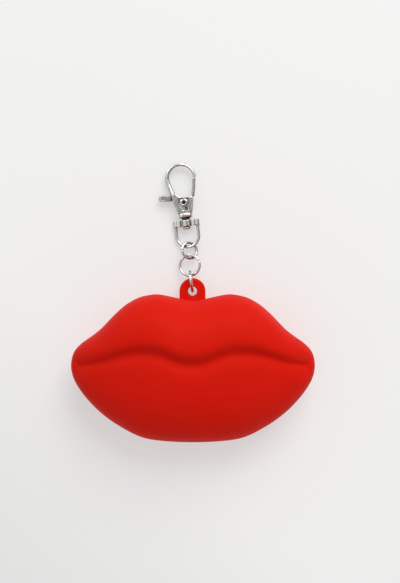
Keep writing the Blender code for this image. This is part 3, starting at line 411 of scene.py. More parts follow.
def quarter(steps):
    """Return the sine and cosine at even steps of a right angle."""
    angles = [math.pi / 2 * i / steps for i in range(steps + 1)]
    return [(math.sin(angle), math.cos(angle)) for angle in angles]


def bake(obj):
    """Turn an object's modifiers into its mesh."""
    graph = bpy.context.evaluated_depsgraph_get()
    graph.update()
    mesh = bpy.data.meshes.new_from_object(obj.evaluated_get(graph))
    obj.modifiers.clear()
    old = obj.data
    obj.data = mesh
    bpy.data.meshes.remove(old)
    return obj


def combine(target, tools, operation):
    """Join tools to the target or cut them away, and remove them."""
    for tool in tools:
        modifier = target.modifiers.new("combine", "BOOLEAN")
        modifier.operation = operation
        modifier.solver = "EXACT"
        modifier.object = tool
        bake(target)
        bpy.data.objects.remove(tool, do_unlink=True)


def cast(obj, voxel, rounds):
    """Give a cast piece its soft edges: remesh it finely and relax it."""
    modifier = obj.modifiers.new("grain", "REMESH")
    modifier.mode = "VOXEL"
    modifier.voxel_size = voxel
    modifier = obj.modifiers.new("relax", "SMOOTH")
    modifier.iterations = rounds
    bake(obj)
    obj.data.shade_smooth()


def smooth_by_angle(obj, angle):
    """Keep edges sharper than an angle, and shade the rest smooth."""
    obj.data.shade_smooth()
    obj.data.set_sharp_from_angle(angle=math.radians(angle))


def attach(obj, material, body, slot_name, *nodes):
    """Give a piece its material and body, and hide the nodes it stands for; the slot name is not used.
    """
    obj.data.materials.clear()
    obj.data.materials.append(material)
    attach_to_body(obj, body)
    if nodes:
        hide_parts(*nodes)
    return obj


# Node tools


class Tree:
    """A node tree, with short ways to add and fill its nodes."""

    def __init__(self, owner):
        owner.use_nodes = True
        self.tree = owner.node_tree
        self.nodes = self.tree.nodes

    def feed(self, socket, value):
        """Link an output to a socket, or write a number or a colour there."""
        if isinstance(value, bpy.types.NodeSocket):
            self.tree.links.new(value, socket)
        elif socket.type == "RGBA":
            socket.default_value = (*value, 1.0)
        else:
            socket.default_value = value

    def fill(self, node, **inputs):
        for key, value in inputs.items():
            self.feed(node.inputs[key.replace("_", " ")], value)
        return node

    def add(self, kind, **inputs):
        return self.fill(self.nodes.new("ShaderNode" + kind), **inputs)

    def math(self, operation, first, second, kind="Math"):
        node = self.add(kind)
        node.operation = operation
        self.feed(node.inputs[0], first)
        self.feed(node.inputs[1], second)
        return node.outputs["Value"]

    def seen_directly(self):
        """Return 1 for rays from the camera, gloss or glass, and 0 for the rest."""
        path = self.add("LightPath").outputs
        seen = self.math("MAXIMUM", path["Is Camera Ray"], path["Is Glossy Ray"])
        return self.math("MAXIMUM", seen, path["Is Transmission Ray"])

    def blend(self, share, plain, direct):
        """Return a shader that is partly one and partly the other."""
        node = self.add("MixShader", Fac=share)
        self.feed(node.inputs[1], plain)
        self.feed(node.inputs[2], direct)
        return node.outputs["Shader"]


class Paint(Tree):
    """A material, with short names for its textures."""

    def __init__(self, name):
        self.material = bpy.data.materials.new(name)
        super().__init__(self.material)
        self.shader = self.nodes["Principled BSDF"]
        self.place = self.add("TexCoord").outputs["Object"]

    def finished(self, **values):
        """Fill in the shader and return the material."""
        self.fill(self.shader, **values)
        return self.material

    def noise(self, scale, detail=3.0, roughness=0.55, stretch=None):
        place = self.place
        if stretch is not None:
            place = self.add("Mapping", Scale=stretch, Vector=place).outputs["Vector"]
        node = self.add("TexNoise", Scale=scale, Detail=detail, Roughness=roughness, Vector=place)
        return node.outputs["Fac"]

    def wave(self, scale, direction, distortion):
        node = self.add("TexWave", Scale=scale, Distortion=distortion, Vector=self.place)
        node.wave_type = "BANDS"
        node.bands_direction = direction
        return node.outputs["Fac"]

    def remap(self, value, low=0.3, high=0.7, to_low=0.0, to_high=1.0):
        node = self.add(
            "MapRange", Value=value, From_Min=low, From_Max=high, To_Min=to_low, To_Max=to_high
        )
        return node.outputs["Result"]

    def mix(self, factor, first, second):
        node = self.add("Mix")
        node.data_type = "RGBA"
        self.feed(node.inputs["Factor"], factor)
        colours = [socket for socket in node.inputs if socket.type == "RGBA"]
        self.feed(colours[0], first)
        self.feed(colours[1], second)
        return [socket for socket in node.outputs if socket.type == "RGBA"][0]

    def bump(self, height, strength, distance, normal=None):
        node = self.add("Bump", Height=height, Strength=strength, Distance=distance)
        if normal is not None:
            self.fill(node, Normal=normal)
        return node.outputs["Normal"]


# Materials


def silicone():
    """Matte moulded silicone with a fine grain and a little lint."""
    paint = Paint("red_silicone")
    cloud = paint.remap(paint.noise(28.0))
    base = paint.mix(cloud, (0.735, 0.0075, 0.0028), (0.775, 0.01, 0.0042))
    # Fine lint and dust that matte silicone picks up
    lint = paint.remap(paint.noise(900.0, 2.0, stretch=(1.0, 0.35, 0.6)), 0.7, 0.78)
    base = paint.mix(paint.math("MULTIPLY", lint, 0.05), base, (0.8, 0.16, 0.13))
    handled = paint.remap(paint.noise(45.0, 4.0, 0.6), 0.25, 0.75, 0.5, 0.62)
    normal = paint.bump(paint.noise(420.0, 2.0), 0.06, 0.0002)
    normal = paint.bump(paint.noise(2600.0, 2.0, 0.6), 0.1, 0.00006, normal)
    return paint.finished(
        Base_Color=base, Roughness=handled, Normal=normal, IOR=1.4,
        Specular_IOR_Level=0.12, Specular_Tint=(1.0, 0.95, 0.5),
    )


def nickel(name, low=0.12, high=0.26, colour=(0.7, 0.69, 0.66), brushed=None):
    """Plated metal, dull in patches, with painted shade in its hollows, cast or brushed."""
    paint = Paint(name)
    wear_and_painted_shade = paint.remap(paint.noise(160.0, 4.0, 0.6), 0.35, 0.7)
    base = paint.mix(wear_and_painted_shade, colour, tuple(c * 0.8 for c in colour))
    # Painted shade: the colour goes towards near black where ambient occlusion finds the surface hemmed
    # in
    near = paint.add("AmbientOcclusion", Distance=0.0022)
    near.samples = 8
    painted_hollow_shade = paint.remap(near.outputs["AO"], 0.5, 0.95, 1.0, 0.0)
    base = paint.mix(paint.math("MULTIPLY", painted_hollow_shade, 0.92), base, (0.03, 0.027, 0.022))
    dull = paint.remap(paint.noise(240.0, 4.0, 0.65), 0.3, 0.7, low, high)
    normal = paint.bump(paint.noise(700.0), 0.06, 0.00008)
    if brushed is not None:
        lines = paint.noise(900.0, 2.0, 0.5, brushed)
        normal = paint.bump(lines, 0.18, 0.00005, normal)
    else:
        scratches = paint.noise(1500.0, 1.0, 0.4, (1.0, 0.06, 1.0))
        normal = paint.bump(scratches, 0.05, 0.00004, normal)
    return paint.finished(Metallic=1.0, Base_Color=base, Roughness=dull, Normal=normal)


def woven():
    """Zipper tape with its warp and weft."""
    paint = Paint("woven_tape")
    cross = paint.math("MULTIPLY", paint.wave(2300.0, "X", 0.6), paint.wave(1500.0, "Y", 0.8))
    base = paint.mix(cross, (0.3, 0.008, 0.006), (0.6, 0.02, 0.014))
    faded = paint.remap(paint.noise(400.0, 4.0), 0.3, 0.7, 0.0, 0.4)
    base = paint.mix(faded, base, (0.44, 0.016, 0.012))
    normal = paint.bump(cross, 0.6, 0.00012)
    normal = paint.bump(paint.noise(6000.0, 2.0), 0.2, 0.00004, normal)
    return paint.finished(
        Base_Color=base, Roughness=0.82, Normal=normal,
        Sheen_Weight=0.35, Sheen_Roughness=0.5, Sheen_Tint=(1.0, 0.6, 0.55),
    )


def nylon():
    """Drawn monofilament with streaks along it."""
    paint = Paint("nylon_coil")
    streak = paint.noise(500.0, stretch=(1.0, 0.3, 1.0))
    base = paint.mix(paint.remap(streak), (0.48, 0.01, 0.008), (0.62, 0.02, 0.014))
    dull = paint.remap(streak, 0.3, 0.7, 0.26, 0.42)
    normal = paint.bump(paint.noise(2500.0, 2.0), 0.08, 0.00004)
    return paint.finished(IOR=1.53, Base_Color=base, Roughness=dull, Normal=normal)


def thread():
    """Twisted sewing thread."""
    paint = Paint("sewing_thread")
    ply = paint.wave(3200.0, "DIAGONAL", 0.4)
    base = paint.mix(ply, (0.36, 0.01, 0.008), (0.64, 0.026, 0.018))
    normal = paint.bump(ply, 0.5, 0.00006)
    return paint.finished(
        Base_Color=base, Roughness=0.7, Normal=normal, Sheen_Weight=0.4, Sheen_Roughness=0.4
    )


# Lips


def smooth_value(pairs, at):
    """Read a smooth curve through (place, value) pairs, level at its last pair."""
    places = [p for p, v in pairs]
    values = [v for p, v in pairs]
    slopes = []
    for i in range(len(pairs)):
        low = max(i - 1, 0)
        high = min(i + 1, len(pairs) - 1)
        slopes.append((values[high] - values[low]) / (places[high] - places[low]))
    slopes[-1] = 0
    i = 0
    while i < len(pairs) - 2 and at > places[i + 1]:
        i += 1
    span = places[i + 1] - places[i]
    t = min(max((at - places[i]) / span, 0), 1)
    rise = values[i + 1] - values[i]
    curve = values[i] + rise * t * t * (3 - 2 * t)
    bend = slopes[i] * (1 - t) - slopes[i + 1] * t
    return curve + span * t * (1 - t) * bend


UPPER_PAIRS = [(math.acos(x), y) for x, y in UPPER_OUTLINE_SHARES]
LOWER_PAIRS = [(math.acos(x), y) for x, y in LOWER_OUTLINE_SHARES]
MOUTH_PAIRS = [(1 - x, y) for x, y in reversed(MOUTH_LINE_SHARES)]


class Column:
    """One column of the lips, from the mouth line out to the edge and down to the back."""

    def __init__(self, k, count, wall):
        angle = 2 * math.pi * k / count
        share = math.cos(angle)
        fold = math.acos(min(abs(share), 1.0))
        self.upper = math.sin(angle) > 0
        self.wall = wall
        self.side = (UPPER_LIP_HEIGHT if self.upper else LOWER_LIP_HEIGHT) - wall
        height = self.side if self.upper else -self.side
        table = UPPER_PAIRS if self.upper else LOWER_PAIRS
        self.outer = Vector((share * (PURSE_HALF_WIDTH - wall), height * smooth_value(table, fold)))
        mouth = MOUTH_RISE * smooth_value(MOUTH_PAIRS, 1 - abs(share))
        self.inner = Vector((share * (MOUTH_HALF_WIDTH - wall), mouth))
        self.share = abs(share)
        swell = 1 - self.share ** TAPER_POWER
        soft = (swell ** 2 + CORNER_SOFTNESS_SHARE ** 2) ** 0.3
        self.taper = CORNER_RISE_SHARE + (1 - CORNER_RISE_SHARE) * soft
        self.length = (self.outer - self.inner).length

    def on_lip(self, r):
        """Return the point at a share of the way from the mouth line to the widest line."""
        upper_rise = CROWN_LEVEL - WIDEST_LEVEL - self.wall
        setback = LOWER_LIP_SETBACK * (1 - self.share ** CORNER_POWER)
        lower_rise = upper_rise - setback
        rise = upper_rise if self.upper else lower_rise
        reach = UPPER_CREASE_REACH if self.upper else LOWER_CREASE_REACH
        reach *= 1 - CORNER_NARROWING_SHARE * self.share ** 3
        fade = math.exp(-((r * self.length / reach) ** 2))
        crown = rise * self.taper * max(1 - r ** CROWN_POWER, 0.0) ** 0.5
        crease = CREASE_DEPTH * (1 - self.share ** CREASE_POWER)
        level = WIDEST_LEVEL + crown + fade * ((lower_rise - rise) * self.taper - crease)
        flat = self.inner.lerp(self.outer, r)
        return Vector((flat.x, CORNER_LINE_Y + flat.y, level))

    def on_side(self, angle, floor_level, floor_inset):
        """Return the point of the side at an angle from the widest line down."""
        inset = floor_inset * (1 - math.cos(angle))
        height = WIDEST_LEVEL + (floor_level - WIDEST_LEVEL) * math.sin(angle)
        x = self.outer.x * (1 - inset / (PURSE_HALF_WIDTH - self.wall))
        y = self.outer.y * (1 - inset / self.side)
        return Vector((x, CORNER_LINE_Y + y, height))


def lip_shell(name, wall, floor_level, floor_inset, columns, rings, sides):
    """Build one closed skin of the lips from quads that follow their form."""
    frames = [Column(k, columns, wall) for k in range(columns)]
    loops = []
    for i in range(rings + 1):
        r = math.sin(math.pi / 2 * (i / rings) ** ROW_CROWDING)
        loops.append([c.on_lip(r) for c in frames])
    for i in range(1, sides + 1):
        angle = math.pi / 2 * i / sides
        loops.append([c.on_side(angle, floor_level, floor_inset) for c in frames])
    for inset in BACK_ROW_INSETS:
        last = []
        for c in frames:
            p = c.on_side(math.pi / 2, floor_level, floor_inset)
            reach = Vector((p.x, p.y - CORNER_LINE_Y))
            q = reach * (1 - inset / reach.length)
            last.append(Vector((q.x, CORNER_LINE_Y + q.y, floor_level)))
        loops.append(last)
    return new_object(name, *loft(loops, start_cap=False), merge=columns)


def stadium(half_length, half_width, steps):
    """Return the outline of a long hole with round ends along X."""
    reach = half_length - half_width
    right = arc((reach, ZIPPER_Y), half_width, -90, 90, steps)
    left = arc((-reach, ZIPPER_Y), half_width, 90, 270, steps)
    straight = [reach - 2 * reach * i / 40 for i in range(1, 40)]
    back = [(x, ZIPPER_Y + half_width) for x in straight]
    front = [(-x, ZIPPER_Y - half_width) for x in straight]
    return right + back + left + front


def hole_cutter(name, half_length, half_width, levels):
    """Build a cutter whose outline widens or narrows level by level."""
    loops = []
    for level, flare in levels:
        outline = stadium(half_length + flare, half_width + flare, 24)
        loops.append([Vector((x, y, level)) for x, y in outline])
    return new_object(name, *loft(loops))


def tab_mesh():
    """Build the hanging tab round its hole, with soft edges all over."""
    outline = arc((TAB_HOLE.x, TAB_HOLE.y), TAB_RADIUS, 0, 180, 48)
    left = TAB_HOLE.x - TAB_RADIUS
    right = TAB_HOLE.x + TAB_RADIUS
    foot = TAB_HOLE.y - TAB_TAIL
    turn = TAB_FOOT_RADIUS
    side = TAB_TAIL - turn
    outline += [(left, TAB_HOLE.y - side * i / 12) for i in range(1, 12)]
    outline += arc((left + turn, foot + turn), turn, 180, 270, 8)
    straight = 2 * TAB_RADIUS - 2 * turn
    outline += [(left + turn + straight * i / 8, foot) for i in range(1, 8)]
    outline += arc((right - turn, foot + turn), turn, 270, 360, 8)
    outline += [(right, foot + turn + side * i / 12) for i in range(1, 12)]
    count = len(outline)
    centre = Vector((TAB_HOLE.x, TAB_HOLE.y))
    points = [Vector(p) for p in outline]
    normals = []
    for i in range(count):
        step = points[(i + 1) % count] - points[i - 1]
        normals.append(Vector((step.y, -step.x)).normalized())
    bore = [(p - centre).normalized() for p in points]
    top = TAB_BOTTOM + TAB_THICKNESS
    soft = TAB_HOLE_EDGE
    loops = []

    def hole_row(radius, level):
        loops.append([Vector((*(centre + b * radius), level)) for b in bore])

    def edge_row(inset, level):
        loops.append([Vector((*(p - n * inset), level)) for p, n in zip(points, normals)])

    def face_row(share, level):
        row = []
        for p, n, b in zip(points, normals, bore):
            near = centre + b * (TAB_HOLE_RADIUS + soft)
            row.append(Vector((*near.lerp(p - n * TAB_EDGE, share), level)))
        loops.append(row)

    hole_row(TAB_HOLE_RADIUS, TAB_BOTTOM + soft)
    hole_row(TAB_HOLE_RADIUS, top - soft)
    for sine, cosine in quarter(4)[1:]:
        hole_row(TAB_HOLE_RADIUS + soft * (1 - cosine), top - soft * (1 - sine))
    face_row(0.33, top)
    face_row(0.67, top)
    for sine, cosine in quarter(8):
        edge_row(TAB_EDGE * (1 - sine), top - TAB_EDGE * (1 - cosine))
    for sine, cosine in quarter(8):
        edge_row(TAB_EDGE * (1 - cosine), TAB_BOTTOM + TAB_EDGE * (1 - sine))
    face_row(0.67, TAB_BOTTOM)
    face_row(0.33, TAB_BOTTOM)
    for sine, cosine in quarter(4)[:-1]:
        hole_row(TAB_HOLE_RADIUS + soft * (1 - sine), TAB_BOTTOM + soft * (1 - cosine))
    return new_object("tab_part", *loft(loops, ring=True))


def build_lips(material):
    """Build the shell with its tab, its pocket, and the slot and recess of the zipper."""
    lips = lip_shell("lips_skin", 0, 0, BACK_INSET, *SKIN_GRID)
    combine(lips, [tab_mesh()], "UNION")
    pocket = lip_shell("pocket_part", SIDE_WALL, BACK_WALL, POCKET_FLOOR_INSET, *POCKET_GRID)
    rim = [(RECESS_EDGE * sine, RECESS_EDGE * (1 - sine)) for sine, cosine in quarter(5)]
    levels = [(-2 * CUT_REACH, RECESS_EDGE)] + rim + [(RECESS_DEPTH - RECESS_FLOOR_EDGE, 0.0)]
    for sine, cosine in quarter(4)[1:]:
        level = RECESS_DEPTH - RECESS_FLOOR_EDGE * (1 - sine)
        levels.append((level, -RECESS_FLOOR_EDGE * (1 - cosine)))
    recess = hole_cutter("recess_part", RECESS_HALF_LENGTH, RECESS_HALF_WIDTH, levels)
    levels = [(RECESS_DEPTH - CUT_REACH, SLOT_EDGE)]
    for sine, cosine in quarter(3):
        levels.append((RECESS_DEPTH + SLOT_EDGE * sine, SLOT_EDGE * (1 - sine)))
    levels.append((BACK_WALL + CUT_REACH, 0.0))
    slot = hole_cutter("slot_part", SLOT_HALF_LENGTH, SLOT_HALF_WIDTH, levels)
    combine(lips, [pocket, recess, slot], "DIFFERENCE")
    smooth_by_angle(lips, 38.0)
    return attach(lips, material, "purse", "silicone", "purse_body")


# Zipper


def row_spread(x):
    """Return how far the divider parts a row from the middle."""
    t = min(max((SPREAD_BACK - x) / (SPREAD_BACK - SPREAD_FRONT), 0), 1)
    return ROW_SPREAD * t * t * (3 - 2 * t)


def build_tape(label, side, material):
    """Build one woven tape, slightly uneven where it was sewn."""
    half = TAPE_THICKNESS / 2 - TAPE_ROUNDING
    loops = []
    for i in range(TAPE_COLUMNS):
        x = -TAPE_HALF_LENGTH + 2 * TAPE_HALF_LENGTH * i / (TAPE_COLUMNS - 1)
        low = ROW_EDGE + row_spread(x) + TAPE_ROW_GAP
        end = min((TAPE_HALF_LENGTH - abs(x)) / TAPE_CORNER, 1.0)
        high = TAPE_REACH - TAPE_CORNER * (1 - end)
        row = []
        for j in range(TAPE_ROWS):
            y = low + (high - low) * j / (TAPE_ROWS - 1)
            lift = PUCKER_HEIGHT * math.sin(x * PUCKER_RATE + 1.3 * side)
            lift *= math.sin(math.pi * j / (TAPE_ROWS - 1))
            lift += RIPPLE_HEIGHT * math.sin(x * RIPPLE_RATES[0] + y * RIPPLE_RATES[1])
            row.append((x, ZIPPER_Y + side * y, TAPE_MIDDLE + lift))
        top = [Vector((x, y, z + half)) for x, y, z in row]
        bottom = [Vector((x, y, z - half)) for x, y, z in reversed(row)]
        loops.append(top + bottom)
    tape = new_object(f"tape_cloth_{label}", *loft(loops))
    smooth_by_angle(tape, 50.0)
    return attach(tape, material, "purse", "zipper_tape", f"zipper_tape_{label}")


def build_coil(label, side, material):
    """Build one row as a wound monofilament whose loops reach past the middle."""
    wire = COIL_WIRE
    inner = -TOOTH_LAP + wire
    outer = ROW_EDGE - wire
    middle = (inner + outer) / 2
    half = (outer - inner) / 2
    rise = ROW_THICKNESS / 2 - wire
    first = ROW_START + TOOTH_WIDTH + (0 if side > 0 else TOOTH_PITCH / 2)
    turns = int((ROW_END - wire - first) / TOOTH_PITCH)
    path = []
    for i in range(turns * COIL_STEPS + 1):
        angle = 2 * math.pi * i / COIL_STEPS
        x = first + TOOTH_PITCH * (i / COIL_STEPS) + COIL_SWAY * math.sin(2 * angle)
        c = math.cos(angle)
        s = math.sin(angle)
        c = math.copysign(abs(c) ** COIL_SQUARENESS, c)
        y = middle - half * c + row_spread(x)
        path.append(Vector((x, ZIPPER_Y + side * y, TAPE_MIDDLE + rise * s)))
    coil = swept(f"coil_{label}", path, [(wire, wire)] * len(path), 10, Vector((1, 0, 0)))
    attach(coil, material, "purse", "zipper_coil", f"zipper_coil_{label}")


def build_stitches(material):
    """Build the stitches round the slot, which sink in at both ends."""
    outline = stadium(STITCH_HALF_LENGTH, STITCH_HALF_WIDTH, 30)
    outline.append(outline[0])
    lengths = [0.0]
    for a, b in zip(outline, outline[1:]):
        lengths.append(lengths[-1] + math.dist(a, b))

    def at(distance):
        distance %= lengths[-1]
        i = 0
        while lengths[i + 1] < distance:
            i += 1
        t = (distance - lengths[i]) / (lengths[i + 1] - lengths[i])
        return Vector(outline[i]).lerp(Vector(outline[i + 1]), t)

    count = round(lengths[-1] / (STITCH_LENGTH + STITCH_GAP))
    pitch = lengths[-1] / count
    all_vertices = []
    all_faces = []
    for n in range(count):
        path = []
        for i in range(9):
            t = i / 8
            p = at(n * pitch + (pitch - STITCH_GAP) * t)
            hump = math.sin(math.pi * t) ** 0.5 if 0 < t < 1 else 0
            level = RECESS_DEPTH + STITCH_RADIUS * 0.9 - 2.0 * STITCH_RADIUS * hump
            path.append(Vector((p.x, p.y, level)))
        halves = [(STITCH_RADIUS, STITCH_RADIUS * 0.9)] * len(path)
        vertices, faces = loft(swept_loops(path, halves, 8, UP))
        shift = len(all_vertices)
        all_vertices += vertices
        all_faces += [tuple(i + shift for i in face) for face in faces]
    obj = new_object("ledge_stitches", all_vertices, all_faces)
    attach(obj, material, "purse", "zipper_tape")


def dress_node(name, material, width):
    """Give a CAD node soft edges and a material."""
    node = NODES[name]
    node.data.materials.clear()
    node.data.materials.append(material)
    add_bevel(node, width, 30.0)


# Chain


def turn_of(turns):
    """Return the rotation by pitch, roll and yaw."""
    pitch, roll, yaw = (math.radians(a) for a in turns)
    turn = Matrix.Rotation(yaw, 4, "Z") @ Matrix.Rotation(pitch, 4, "X")
    return turn @ Matrix.Rotation(roll, 4, "Y")


def settle(obj, place, turns, body, node, material, slot_name="chain_metal"):
    """Put a piece made in its own frame where it lies, and hide the node it stands for."""
    obj.data.transform(Matrix.Translation(place) @ turn_of(turns))
    attach(obj, material, body, slot_name, node)


def build_ring(link, material):
    """Build a jump ring: round wire with a sheared seam, one end a touch proud."""
    place, turns, radius, seam = LINKS[link]
    half_seam = RING_SEAM / radius / 2
    start = math.radians(seam) + half_seam
    sweep = 2 * math.pi - 2 * half_seam
    path = []
    halves = []
    for i in range(RING_STEPS + 1):
        t = i / RING_STEPS
        angle = start + sweep * t
        rise = RING_SEAM_LIFT * (2 * t - 1) ** RING_SEAM_LIFT_POWER
        path.append(Vector((radius * math.cos(angle), radius * math.sin(angle), rise)))
        share = RING_END_SHARE if i in (0, RING_STEPS) else 1.0
        halves.append([RING_WIRE / 2 * share] * 2)
    ring = swept(f"{link}_wire", path, halves, 28, UP)
    smooth_by_angle(ring, 50.0)
    settle(ring, Vector(place), turns, link, link.replace("_", "_jump_"), material)


def barrel_profile(radius, length):
    """Return the profile of a short cylinder with broken edges."""
    half = length / 2
    return [(radius - EDGE, -half), (radius, EDGE - half), (radius, half - EDGE), (radius - EDGE, half)]


def build_shackle(material):
    """Build the cast U with its ears, crossbar and barrel."""
    curve = arc((0, -SHACKLE_ARM), SHACKLE_RADIUS, 180, 360, 64)
    line = [(-SHACKLE_RADIUS, EDGE)] + curve + [(SHACKLE_RADIUS, EDGE)]
    path = [Vector((x, y, 0)) for x, y in line]
    wire = SHACKLE_WIRE / 2
    obj = swept("shackle_cast", path, [(wire, wire)] * len(path), 24, UP)
    parts = []
    for side in (-1, 1):
        ear = turned("ear", barrel_profile(EAR_RADIUS, EAR_LENGTH), 32, "Y")
        ear.data.transform(Matrix.Translation((side * SHACKLE_RADIUS, 0, 0)))
        parts.append(ear)
    high = CROSSBAR_HEIGHT / 2
    deep = CROSSBAR_DEPTH / 2
    parts.append(prism("bar", rectangle(-SHACKLE_RADIUS, SHACKLE_RADIUS, -high, high), -deep, deep))
    # Shoulders between the arms and the barrel
    for side in (-1, 1):
        near, far = sorted((side * SHOULDER_NEAR, side * SHOULDER_FAR))
        outline = rectangle(near, far, -high - EDGE, high + EDGE)
        parts.append(prism("shoulder", outline, -deep - EDGE, deep + EDGE))
    barrel = turned("barrel", barrel_profile(BARREL_RADIUS, BARREL_LENGTH), 64, "Y")
    barrel.data.transform(Matrix.Diagonal((1, 1, BARREL_FLATNESS_SHARE, 1)))
    parts.append(barrel)
    combine(obj, parts, "UNION")
    reach = BARREL_LENGTH
    drill = turned("drill", [(SWIVEL_HOLE_RADIUS, -reach), (SWIVEL_HOLE_RADIUS, reach)], 40, "Y")
    combine(obj, [drill], "DIFFERENCE")
    cast(obj, *SHACKLE_GRAIN)
    settle(obj, SWIVEL, (0, SHACKLE_ROLL, CHAIN_LEAN), "shackle", "swivel_shackle", material)


def wedge_outline(shares):
    """Return an outline on the wedge from shares of its half width and height."""
    rise = WEDGE_TOP - WEDGE_FOOT
    return [(x * WEDGE_HALF_WIDTH, WEDGE_FOOT + y * rise) for x, y in shares]


def gate_slot_outline():
    """Return the pocket between the cheeks, as the frame has it."""
    floor = PIVOT_REACH - GATE_HUB_RADIUS - GATE_GAP
    lift = LEVER_HALF_HEIGHT + GATE_GAP
    rest = math.tan(math.radians(180 - LEVER_ANGLE))
    swung = math.tan(math.radians(LEVER_ANGLE + GATE_OPEN_ANGLE - 180))
    reach = SPRING_RADIUS + SPRING_WIRE + GATE_GAP / 2
    right = SPRING_X + reach
    left = SPRING_X - reach
    spring_floor = SPRING_TOP - SPRING_LENGTH - GATE_GAP
    far = 2 * (HOOK_RADIUS + HOOK_WIRE / 2)
    arm_left = -GATE_HUB_RADIUS - GATE_GAP
    above = WEDGE_TOP + HOOK_WIRE
    return [
        (far, floor), (right, floor), (right, spring_floor), (left, spring_floor),
        (left, PIVOT_REACH + left * swung - lift - GATE_GAP),
        (-far, PIVOT_REACH - far * swung - lift - GATE_GAP),
        (-far, PIVOT_REACH + far * rest + lift + GATE_GAP),
        (arm_left, PIVOT_REACH - arm_left * rest + lift + GATE_GAP),
        (arm_left, above), (far, above),
    ]


def hook_part():
    """Build the hook: an arm out of the wedge's left side and a half round loop."""
    rise = HOOK_CENTRE - PIVOT_REACH
    path = []
    halves = []
    for x, y, width, thickness in HOOK_ARM_SHARES:
        path.append(Vector((x * HOOK_RADIUS - HOOK_SHIFT, PIVOT_REACH + y * rise, 0)))
        halves.append((HOOK_WIRE / 2 * width, HOOK_DEPTH / 2 * thickness))
    narrowing = HOOK_LEFT_WIDTH_SHARE - HOOK_TOP_WIDTH_SHARE
    loop = arc((-HOOK_SHIFT, HOOK_CENTRE), HOOK_RADIUS, 180, 0, HOOK_STEPS)
    for i, (x, y) in enumerate(loop):
        width = HOOK_LEFT_WIDTH_SHARE - narrowing * min(2 * i / HOOK_STEPS, 1)
        path.append(Vector((x, y, 0)))
        halves.append((HOOK_WIRE / 2 * width, HOOK_DEPTH / 2))
    return swept("hook", path, halves, 28, UP, HOOK_SQUARENESS)


def collar_part():
    """Build the neck and the flared oval collar under the wedge."""
    rim = COLLAR_FOOT + COLLAR_LENGTH
    collar = turned("collar", [
        (NECK_RADIUS, NECK_FOOT),
        (NECK_RADIUS + EDGE / 3, COLLAR_FOOT - EDGE * 2),
        (COLLAR_RADIUS - EDGE, COLLAR_FOOT - EDGE / 3),
        (COLLAR_RADIUS, COLLAR_FOOT + EDGE / 2),
        (COLLAR_RADIUS, rim - EDGE),
        (COLLAR_RADIUS - EDGE, rim + EDGE),
        (COLLAR_RADIUS - EDGE * 2, WEDGE_FOOT + WEDGE_EDGE * 2),
    ], 56, "Y")
    for vertex in collar.data.vertices:
        across = math.hypot(vertex.co.x, vertex.co.z)
        if across > NECK_RADIUS + EDGE:
            for axis in (0, 2):
                part = vertex.co[axis] / across
                vertex.co[axis] = across * math.copysign(abs(part) ** COLLAR_SQUARENESS, part)
    collar.data.transform(Matrix.Diagonal((1, 1, COLLAR_FLATNESS_SHARE, 1)))
    return collar


def post_part():
    """Build the headed post that the clasp turns on."""
    return turned("post", [
        (POST_HEAD_RADIUS / 2, -NECK_FOOT - POST_HEAD_LENGTH),
        (POST_HEAD_RADIUS * 0.8, -NECK_FOOT - POST_HEAD_LENGTH * 0.85),
        (POST_HEAD_RADIUS, -NECK_FOOT - POST_HEAD_LENGTH / 2),
        (POST_HEAD_RADIUS, -NECK_FOOT - EDGE / 2),
        (POST_HEAD_RADIUS - EDGE / 2, -NECK_FOOT),
        (POST_RADIUS, -NECK_FOOT),
        (POST_RADIUS, WEDGE_FOOT + WEDGE_EDGE),
    ], 40, "Y")


def build_clasp(material):
    """Build the cast clasp: wedge with sunk panels, hook, collar and post."""
    outline = wedge_outline(WEDGE_OUTLINE_SHARES)
    obj = bake(add_bevel(prism("clasp_cast", outline, -CLASP_HALF, CLASP_HALF), WEDGE_EDGE, 50.0))
    for vertex in obj.data.vertices:
        low = max(1 - (vertex.co.y - WEDGE_FOOT) / WEDGE_TAPER_REACH, 0)
        vertex.co.z *= 1 - WEDGE_TAPER_SHARE * low
    combine(obj, [hook_part(), collar_part(), post_part()], "UNION")
    slot_half = GATE_HALF + GATE_GAP
    cuts = [prism("slot", gate_slot_outline(), -slot_half, slot_half)]
    seat = CLASP_HALF - RIVET_HEAD_DEPTH - RUNNING_CLEARANCE
    for side in (-1, 1):
        low, high = sorted((side * seat, side * 2 * CLASP_HALF))
        cuts.append(prism("panel", wedge_outline(PANEL_OUTLINE_SHARES), low, high))
        low, high = sorted((side * (seat - MARK_DEPTH), side * CLASP_HALF))
        cuts.append(prism("mark", wedge_outline(MARK_OUTLINE_SHARES), low, high))
    bore = circle((0, PIVOT_REACH), RIVET_RADIUS + RUNNING_CLEARANCE, 40)
    cuts.append(prism("drill", bore, -CLASP_HALF - EDGE, CLASP_HALF + EDGE))
    combine(obj, cuts, "DIFFERENCE")
    cast(obj, *CLASP_GRAIN)
    settle(obj, SWIVEL, (0, 0, CHAIN_LEAN), "clasp", "clasp_frame", material)


